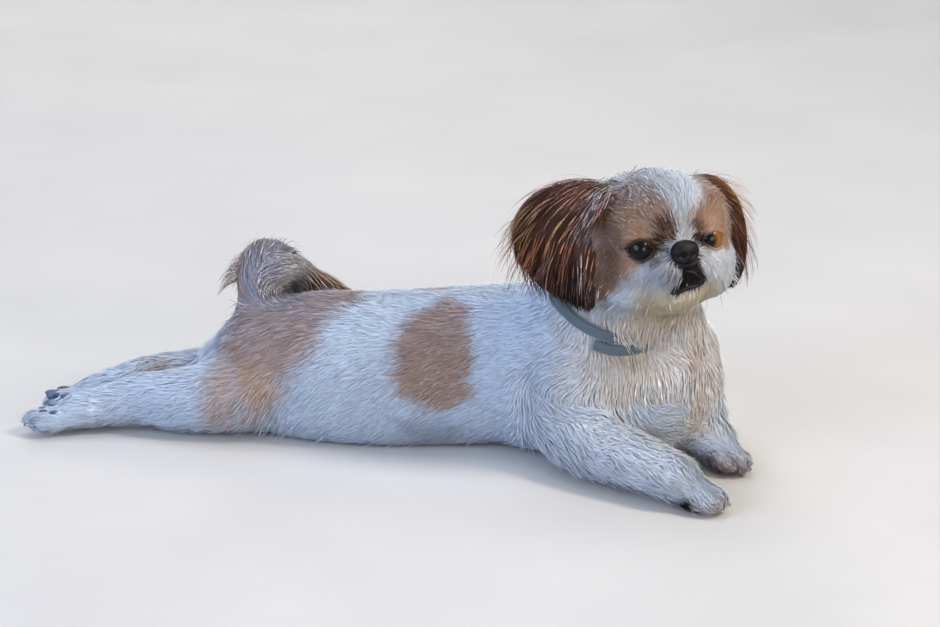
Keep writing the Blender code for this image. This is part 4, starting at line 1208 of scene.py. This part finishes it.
def leather_material(name, codes, cell, depth, shine):
    """Bare leather of nose, lips or pads: dark pigment in small pebbles that many metres across."""
    def leather(tree, place):
        pebble = add(tree, "ShaderNodeTexVoronoi", {"Vector": place, "Scale": 1 / cell}, feature="SMOOTH_F1")
        cloudy = add(tree, "ShaderNodeTexNoise", {"Vector": place, "Scale": 0.3 / cell, "Detail": 3.0})
        tint = ramp(tree, cloudy, [(0.35, codes[0]), (0.65, codes[1])])
        bump = add(tree, "ShaderNodeBump", {"Height": pebble, "Strength": 0.9, "Distance": depth},
                   invert=True)
        rough = add(tree, "ShaderNodeMapRange", {"Value": pebble, "To Min": shine, "To Max": shine + 0.2})
        return {"Base Color": tint, "Roughness": rough, "Normal": bump,
                "Specular IOR Level": 0.17}

    return material(name, leather)


def claw_horn(tree, place):
    """Keratin claws: translucent horn in dark and light lengthwise streaks."""
    streaks = add(tree, "ShaderNodeTexNoise", {"Vector": place, "Scale": 260.0, "Detail": 3.0})
    tint = ramp(tree, streaks, [(0.3, "#3A312D"), (0.6, "#6E5E54"), (0.8, "#A39384")])
    rough = add(tree, "ShaderNodeMapRange", {"Value": streaks, "To Min": 0.28, "To Max": 0.45})
    return {"Base Color": tint, "Roughness": rough, "IOR": 1.55}


def nylon_webbing(tree, place):
    """Flat woven webbing, grey-blue: ribs 0.9 mm apart, drawn a little coarser than the real thread."""
    turned = add(tree, "ShaderNodeMapping", {"Vector": place, "Rotation": (0.3, 0.3, 0.0)})
    ribs = add(tree, "ShaderNodeTexWave", {"Vector": turned, "Scale": 300.0, "Distortion": 0.5,
                                           "Detail": 1.0}, bands_direction="DIAGONAL")
    weave = add(tree, "ShaderNodeTexWave", {"Vector": turned, "Scale": 420.0, "Distortion": 0.4},
                bands_direction="Z")
    height = add(tree, "ShaderNodeMath", {0: ribs.outputs[1], 1: weave.outputs[1]}, operation="MULTIPLY")
    wear = add(tree, "ShaderNodeTexNoise", {"Vector": place, "Scale": 70.0, "Detail": 4.0})
    shade = add(tree, "ShaderNodeMath", {0: height, 1: wear}, operation="MULTIPLY")
    tint = ramp(tree, shade, [(0.05, "#34434F"), (0.4, "#475866"), (0.7, "#5E6F7D")])
    bump = add(tree, "ShaderNodeBump", {"Height": height, "Strength": 0.5, "Distance": 0.0004})
    rough = add(tree, "ShaderNodeMapRange", {"Value": wear, "To Min": 0.5, "To Max": 0.75})
    return {"Base Color": tint, "Roughness": rough, "Normal": bump, "Sheen Weight": 0.2}


def floor_paint(tree, place):
    """Pale matt studio floor with the faintest mottling."""
    cloudy = add(tree, "ShaderNodeTexNoise", {"Vector": place, "Scale": 5.0, "Detail": 4.0})
    return {"Base Color": ramp(tree, cloudy, [(0.3, "#ABAAA8"), (0.7, "#B1B0AD")]), "Roughness": 0.8}


# ------------------------------------------------------------------ operators
class DOG_OT_skin(bpy.types.Operator):
    """One seamless skin under the coat, with lids, whisker pads and the furrow under the nose"""
    bl_idname = "dog.skin"
    bl_label = "Skin"

    def execute(self, context):
        mesh = build_skin(context.scene.dog_sizes)
        made = new_object("skin", mesh, material("Skin and undercoat", undercoat))
        context.view_layer.objects.active = made
        made.select_set(True)
        mesh.uv_layers.new(name="OFBake")
        bpy.ops.object.mode_set(mode="EDIT")
        bpy.ops.mesh.select_all(action="SELECT")
        bpy.ops.uv.smart_project(angle_limit=math.radians(66), island_margin=0.002)
        bpy.ops.object.mode_set(mode="OBJECT")
        made.select_set(False)
        learn_skin(mesh)
        SKIN.uv = numbers(mesh.uv_layers["OFBake"].data, "uv", 2)
        tint = paint(SKIN.at, SKIN.share, np.full(len(SKIN.at), 0.5))
        # painted shade: the skin under the coat a little darker than the hair over it
        tint = np.concatenate([tint * 0.95, np.ones((len(tint), 1))], 1)
        store(mesh, "fur", "FLOAT_COLOR", "color", tint)
        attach(made, "root")
        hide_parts(*FLESH)
        return {"FINISHED"}


class DOG_OT_face_coat(bpy.types.Operator):
    """Short hair of the face, longer on cheeks and chin, and the crown"""
    bl_idname = "dog.face_coat"
    bl_label = "Coat of the head"

    def execute(self, context):
        local = to_head(SKIN.at)
        face = soft(1.1, 1.3, local[:, 0])
        grow_coat("coat_face", SKIN.share["head"] * face, 1.32, 3, seed=1)
        grow_coat("coat_crown", SKIN.share["head"] * (1 - face), 1.85, 3, seed=2)
        return {"FINISHED"}


class DOG_OT_ear_coat(bpy.types.Operator):
    """Long silky locks of the ears"""
    bl_idname = "dog.ear_coat"
    bl_label = "Coat of the ears"

    def execute(self, context):
        for seed, ear, spacing in ((3, "ear_right", 1.70), (4, "ear_left", 1.75)):
            grow_coat("coat_" + ear, SKIN.share[ear], spacing, 4, free=0.85, seed=seed, strays=0.06)
        behind = np.array([-0.94, -0.34, 0.0])      # wisps that lift off the back edge of the right ear
        high = SKIN.at[:, 2]
        loose = SKIN.share["ear_right"] * (SKIN.normal @ behind > 0.60) * (high > 0.192) * (high < 0.222)
        pull = np.tile(behind * 0.10 + np.array([0, 0, -0.15]), (len(loose), 1))
        grow_coat("coat_ear_wisps", loose, 6.5, 5, scale=0.62, seed=33, strays=1.0, pull=pull)
        return {"FINISHED"}


class DOG_OT_body_coat(bpy.types.Operator):
    """Coat of the neck, chest, back and rump, clipped short"""
    bl_idname = "dog.body_coat"
    bl_label = "Coat of the body"

    def execute(self, context):
        x = SKIN.at[:, 0]
        grow_coat("coat_neck", SKIN.share["neck"], 1.80, 3, seed=5)
        for seed, name, rear, front, spacing, segments in (
                (6, "chest", 0.11, 1, 1.98, 3), (7, "shoulders", 0.025, 0.11, 1.70, 2),
                (8, "back", -0.06, 0.025, 1.70, 2), (9, "rump", -1, -0.06, 1.68, 2)):
            stretch = SKIN.share["trunk"] * (x > rear) * (x <= front)
            grow_coat("coat_" + name, stretch, spacing, segments, seed=seed)
        return {"FINISHED"}


class DOG_OT_leg_coat(bpy.types.Operator):
    """Coat of the legs and paws, the shortest of all on the toes"""
    bl_idname = "dog.leg_coat"
    bl_label = "Coat of the legs"

    def execute(self, context):
        for k, end in enumerate(PAWS):
            leg = SKIN.share[end.replace("_", "leg_")]
            paw = SKIN.share[end.replace("_", "paw_")]
            grow_coat(f"coat_leg_{end}", leg, 1.95, 2 if end.startswith("hind") else 3, seed=10 + k, strays=0.10)
            grow_coat(f"coat_paw_{end}", paw, 1.45, 3, free=0.6, seed=20 + k, strays=0.12)
        return {"FINISHED"}


class DOG_OT_tail_coat(bpy.types.Operator):
    """Long hair of the tail, falling over the far side of the back"""
    bl_idname = "dog.tail_coat"
    bl_label = "Coat of the tail"

    def execute(self, context):
        grow_coat("coat_tail", SKIN.share["tail"], 1.7, 4, free=0.40, seed=30, strays=0.05)
        # loose locks that fall forward onto the back, and over behind
        facing, high = SKIN.normal[:, 0], SKIN.at[:, 2]
        ahead, behind = (facing > 0.25) * (high > 0.100) * (high < 0.136), (facing < -0.50) * (high > 0.122)
        loose = SKIN.share["tail"] * (ahead + behind)
        pull = np.where((facing > 0)[:, None], (0.40, 0.10, -0.42), (-0.14, 0.0, -0.62))
        grow_coat("coat_tail_loose", loose, 1.9, 5, scale=0.85, seed=32, strays=1.0, pull=pull)
        grow_coat("coat_plume", SKIN.share["tail_plume"], 1.95, 4, free=0.75, seed=31, strays=0.05)
        return {"FINISHED"}


class DOG_OT_eyes(bpy.types.Operator):
    """Eyeballs with a bulging cornea"""
    bl_idname = "dog.eyes"
    bl_label = "Eyes"

    def execute(self, context):
        radius = context.scene.dog_sizes.eye_radius
        # the near eye's iris in painted shade, the far eye's in painted sunlight
        for side, name, finish in ((-1, "eye_right", ("Wet eye, shaded dark", SHADED_IRIS)),
                                   (1, "eye_left", ("Wet eye, sunlit amber", SUNLIT_IRIS))):
            centre, _, look, _ = EYES[side]
            work = bmesh.new()
            bmesh.ops.create_icosphere(work, subdivisions=5, radius=radius)
            offs = []
            for vert in work.verts:
                off = vert.co.angle(look)
                bulge = max(0.0, 1 - (off / math.radians(40))**2)
                vert.co *= 1.0 + 0.05 * bulge * bulge
                offs.append(off / math.pi * 2)
                vert.co += centre
            mesh = mesh_of(work, name)
            store(mesh, "off_axis", "FLOAT", "value", offs)
            made = new_object(name + "_ball", mesh, eye_material(*finish))
            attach(made, "root")
            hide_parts(name)
        return {"FINISHED"}


def nose_point(p):
    """A point of a ball of radius 1 as it lies on the nose: nostrils and furrow pressed in, wings raised, and the
    outline squarer than round."""
    x, y, z = p
    pull = 0.0
    for side in (-1, 1):
        for place, by, width in (((0.90, 0.42, -0.10), -0.85, 0.24),      # nostril
                                 ((0.50, 0.80, -0.22), -0.30, 0.20),      # the slit beside it
                                 ((0.66, 0.66, 0.20), 0.05, 0.25)):       # wing
            middle = Vector((place[0], place[1] * side, place[2])).normalized()
            pull += by * math.exp(-((p - middle).length / width)**2)
    if x > 0:
        pull -= 0.12 * math.exp(-(y / 0.07)**2) * min(1, max(0, (0.35 - z) * 2))
    x = x * (1.0 + 0.05 * max(0, z))
    y = y * (1.0 - 0.20 * max(0, -z)**1.5) * (1.0 - 0.10 * max(0, z)**2)
    p = Vector((x, y, z)) * (1 + pull)
    square = math.hypot(p.y, p.z) / max((abs(p.y)**2.8 + abs(p.z)**2.8)**(1 / 2.8), 1e-6)
    p.y, p.z = p.y * square**0.7, p.z * square**0.7
    return p


class DOG_OT_nose(bpy.types.Operator):
    """Nose leather with comma-shaped nostrils and the furrow between them"""
    bl_idname = "dog.nose"
    bl_label = "Nose"

    def execute(self, context):
        work = bmesh.new()
        bmesh.ops.create_icosphere(work, subdivisions=5, radius=1.0)
        middle, radii = (Vector(v) * CM for v in NOSE)
        for vert in work.verts:
            p = nose_point(vert.co.copy())
            vert.co = HEAD @ (middle + Vector(a * b for a, b in zip(p, radii)))
        made = new_object("nose_leather", mesh_of(work, "nose"),
                          leather_material("Nose leather", ("#060608", "#0F0E12"), 0.0008, 0.00022, 0.40))
        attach(made, "root")
        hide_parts("nose")
        return {"FINISHED"}


def smooth_line(points, steps=5):
    """A smooth line through the points, with that many steps from each to the next."""
    line = []
    for k in range(len(points) - 1):
        a, b = points[k], points[k + 1]
        before, after = points[max(k - 1, 0)], points[min(k + 2, len(points) - 1)]
        for j in range(steps):
            t = j / steps
            line.append(0.5 * (2 * a + (b - before) * t + (2 * before - 5 * a + 4 * b - after) * t * t
                               + (3 * a - before - 3 * b + after) * t**3))
    return line + [points[-1]]


def sweep(points, radii, sides=12):
    """A bmesh tube through the points, made by extruding a circle, closed at both ends."""
    work = bmesh.new()
    bmesh.ops.create_circle(work, cap_ends=True, segments=sides, radius=1.0)
    ring = list(work.verts)
    shape = [v.co.copy() for v in ring]
    edges = list(work.edges)
    for k, (point, radius) in enumerate(zip(points, radii)):
        if k:
            new = bmesh.ops.extrude_edge_only(work, edges=edges)["geom"]
            moved = [v for v in new if isinstance(v, bmesh.types.BMVert)]
            edges = [e for e in new if isinstance(e, bmesh.types.BMEdge) and all(v in moved for v in e.verts)]
            order = {}
            for old in ring:
                order[old] = next(e.other_vert(old) for e in old.link_edges if e.other_vert(old) in moved)
            ring = [order[v] for v in ring]
        before, after = points[max(k - 1, 0)], points[min(k + 1, len(points) - 1)]
        turn = (after - before).to_track_quat("Z", "Y").to_matrix()
        for vert, flat in zip(ring, shape):
            vert.co = point + turn @ Vector((flat.x * radius, flat.y * radius, 0))
    bmesh.ops.contextual_create(work, geom=edges)
    bmesh.ops.recalc_face_normals(work, faces=work.faces)
    return work


class DOG_OT_lips(bpy.types.Operator):
    """Dark rolled edges of the upper and lower lip"""
    bl_idname = "dog.lips"
    bl_label = "Lips"

    def execute(self, context):
        radius = context.scene.dog_sizes.lip_radius
        whole = bmesh.new()
        lines = {      # points along each lip and its thickness there, in lip radii
            "near flap": ([(5.2, -1.25, -3.7), (5.5, -1.0, -3.0), (5.65, -0.62, -2.35), (5.7, -0.15, -1.95)], 0.6),
            "far flap": ([(5.7, -0.1, -1.85), (5.75, 0.45, -2.0), (5.75, 0.95, -2.35), (5.65, 1.35, -2.75),
                          (5.5, 1.62, -3.0)], 1.25),
            "lower": ([(5.1, -1.2, -3.72), (5.3, -0.55, -3.5), (5.4, 0.3, -3.32), (5.35, 1.1, -3.18),
                       (5.4, 1.55, -3.0)], 1.6),
        }
        for line, thick in lines.values():
            points = []
            for place in line:
                spot = from_head(place)
                near, normal, _, _ = SKIN.tree.find_nearest(spot)
                points.append(near + normal * radius * 0.25)
            fine = smooth_line(points)
            radii = [thick * radius * (0.3 + 0.7 * math.sin(math.pi * (k + 0.4) / (len(fine) - 0.2))**0.6)
                     for k in range(len(fine))]
            part = bpy.data.meshes.new("lip")
            sweep(fine, radii).to_mesh(part)
            whole.from_mesh(part)
            bpy.data.meshes.remove(part)
        made = new_object("lips", mesh_of(whole, "lips"),
                          leather_material("Lip leather", ("#0B0909", "#171213"), 0.0010, 0.0002, 0.34))
        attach(made, "root")
        return {"FINISHED"}


def spread_pads(verts, end):
    """The toes' leather spreads under the clipped hair of a hind foot, more on the far one, which faces up."""
    middles = [sum((Vector(c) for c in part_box(f"pad_{end}_{k}")), Vector()) / 2 for k in PADS]
    for vert in verts:
        middle = min(middles, key=lambda c: (vert.co - c).length)
        off = vert.co - middle
        if end.endswith("left"):
            off = Vector((off.x * 1.80 - 0.0008, off.y * 1.65 - 0.0020, off.z * 1.3 - 0.0044))
            vert.co = middle + 0.30 * (middle - middles[-1]) + off
        else:
            vert.co = middle + (off - Vector((0, 0, 0.0030)))


class DOG_OT_claws_and_pads(bpy.types.Operator):
    """Claws, and the leather pads of the upturned hind soles"""
    bl_idname = "dog.claws_and_pads"
    bl_label = "Claws and pads"

    def execute(self, context):
        for end in PAWS:
            nodes = [f"claw_{end}_{k}" for k in range(1, 5)]
            made = rounded(f"claws_{end}", nodes, material("Claw horn", claw_horn))
            low, high = (Vector(v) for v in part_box(end.replace("_", "paw_")))
            inner = (low + high) / 2
            for vert in made.data.vertices:      # drawn back into the toes' hair
                off = vert.co - inner
                off.z = 0
                vert.co += vert.normal * 0.0007 - off.normalized() * 0.0055
            if end.startswith("hind"):
                nodes = [f"pad_{end}_{k}" for k in PADS]
                made = rounded(f"pads_{end}", nodes,
                               leather_material("Sole leather", ("#303A4C", "#515E75"), 0.0012, 0.0004, 0.5))
                spread_pads(made.data.vertices, end)
        return {"FINISHED"}


def rounded(name, nodes, finish, crease=0.0):
    """Smooth copies of the solids as one piece that stands for them."""
    work = node_bmesh(*nodes)
    if crease:
        layer = work.edges.layers.float.new("crease_edge")
        for edge in work.edges:
            if len(edge.link_faces) == 2 and edge.calc_face_angle(0) > math.radians(50):
                edge[layer] = crease
    bmesh.ops.join_triangles(work, faces=work.faces, angle_face_threshold=0.6, angle_shape_threshold=1.0)
    mesh = with_modifier(mesh_of(work, name), "SUBSURF", levels=2, render_levels=2)
    made = new_object(name, mesh, finish)
    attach(made, "root")
    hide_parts(*nodes)
    return made


class DOG_OT_collar(bpy.types.Operator):
    """Flat webbing collar and its loose end"""
    bl_idname = "dog.collar"
    bl_label = "Collar"

    def execute(self, context):
        for name in ("collar", "collar_end"):
            made = rounded(name + "_webbing", [name], material("Nylon webbing", nylon_webbing), crease=0.75)
            for vert in made.data.vertices:
                off = vert.co - Vector(COLLAR_MIDDLE)
                out = Vector((off.x, off.y, 0)).normalized()
                if name == "collar_end":      # its tip runs in under the chest's hair
                    hidden = min(1, max(0, (vert.co.x - 0.200) / 0.022))
                    vert.co -= out * 0.0065 * hidden - Vector((0, 0, 0.0016))
                else:      # under the coat in front, out on the sides and back of the neck
                    hidden = min(1, max(0, (vert.co.x - STRAP_SHOWS) / 0.009)) * min(1, abs(off.y) / 0.03)
                    back = min(1, max(0, (0.005 + off.y - off.x) / 0.03))
                    vert.co += out * (0.0030 * back - 0.0075 * hidden)
        return {"FINISHED"}


class DOG_OT_stage(bpy.types.Operator):
    """Plain pale floor, large soft lights and the camera"""
    bl_idname = "dog.stage"
    bl_label = "Stage"

    def execute(self, context):
        sizes = context.scene.dog_sizes
        work = bmesh.new()
        bmesh.ops.create_grid(work, x_segments=1, y_segments=1, size=sizes.floor / 2)
        floor = new_object("floor", mesh_of(work, "floor"), material("Studio floor paint", floor_paint))
        for name, place, size, power, code in LIGHTS:
            light = bpy.data.lights.new(name, "AREA")
            light.shape, light.size, light.energy, light.color = "DISK", size, power, srgb(code)
            lamp = bpy.data.objects.new(name, light)
            lamp.location = place
            lamp.rotation_euler = (FOCUS - Vector(place)).to_track_quat("-Z", "Y").to_euler()
            context.scene.collection.objects.link(lamp)
        world = bpy.data.worlds.new("studio")
        context.scene.world = world
        world.use_nodes = True
        world.node_tree.nodes["Background"].inputs[0].default_value = rgba("#DCE4F0")
        world.node_tree.nodes["Background"].inputs[1].default_value = 0.60
        back = Vector((math.sin(CAMERA_TURN) * math.cos(CAMERA_RISE),
                       -math.cos(CAMERA_TURN) * math.cos(CAMERA_RISE), math.sin(CAMERA_RISE)))
        camera = bpy.data.objects.new("camera", bpy.data.cameras.new("camera"))
        camera.data.lens, camera.data.sensor_width = sizes.lens, 36
        camera.data.clip_start, camera.data.clip_end = 0.05, 60
        camera.location = FOCUS + back * sizes.distance
        camera.rotation_euler = (-back).to_track_quat("-Z", "Y").to_euler()
        context.scene.collection.objects.link(camera)
        context.scene.camera = camera
        context.scene.view_settings.view_transform = "Standard"
        return {"FINISHED"}


OPERATORS = (DOG_OT_skin, DOG_OT_eyes, DOG_OT_nose, DOG_OT_lips, DOG_OT_claws_and_pads, DOG_OT_collar,
             DOG_OT_face_coat, DOG_OT_ear_coat, DOG_OT_body_coat, DOG_OT_leg_coat, DOG_OT_tail_coat, DOG_OT_stage)


class DOG_PT_panel(bpy.types.Panel):
    bl_label = "Lying shih tzu"
    bl_idname = "DOG_PT_panel"
    bl_space_type = "VIEW_3D"
    bl_region_type = "UI"
    bl_category = "Dog"

    def draw(self, context):
        for group in (context.scene.dog_sizes, context.scene.dog_colours):
            for key in group.__annotations__:
                self.layout.prop(group, key)
        for operator in OPERATORS:
            self.layout.operator(operator.bl_idname)


CLASSES = (DogSizes, DogColours, *OPERATORS, DOG_PT_panel)


def register():
    for item in CLASSES:
        bpy.utils.register_class(item)
    bpy.types.Scene.dog_sizes = PointerProperty(type=DogSizes)
    bpy.types.Scene.dog_colours = PointerProperty(type=DogColours)


def unregister():
    del bpy.types.Scene.dog_sizes
    del bpy.types.Scene.dog_colours
    for item in reversed(CLASSES):
        bpy.utils.unregister_class(item)


def main():
    register()
    for operator in OPERATORS:
        group, name = operator.bl_idname.split(".")
        getattr(getattr(bpy.ops, group), name)()


if __name__ == "__main__":
    main()
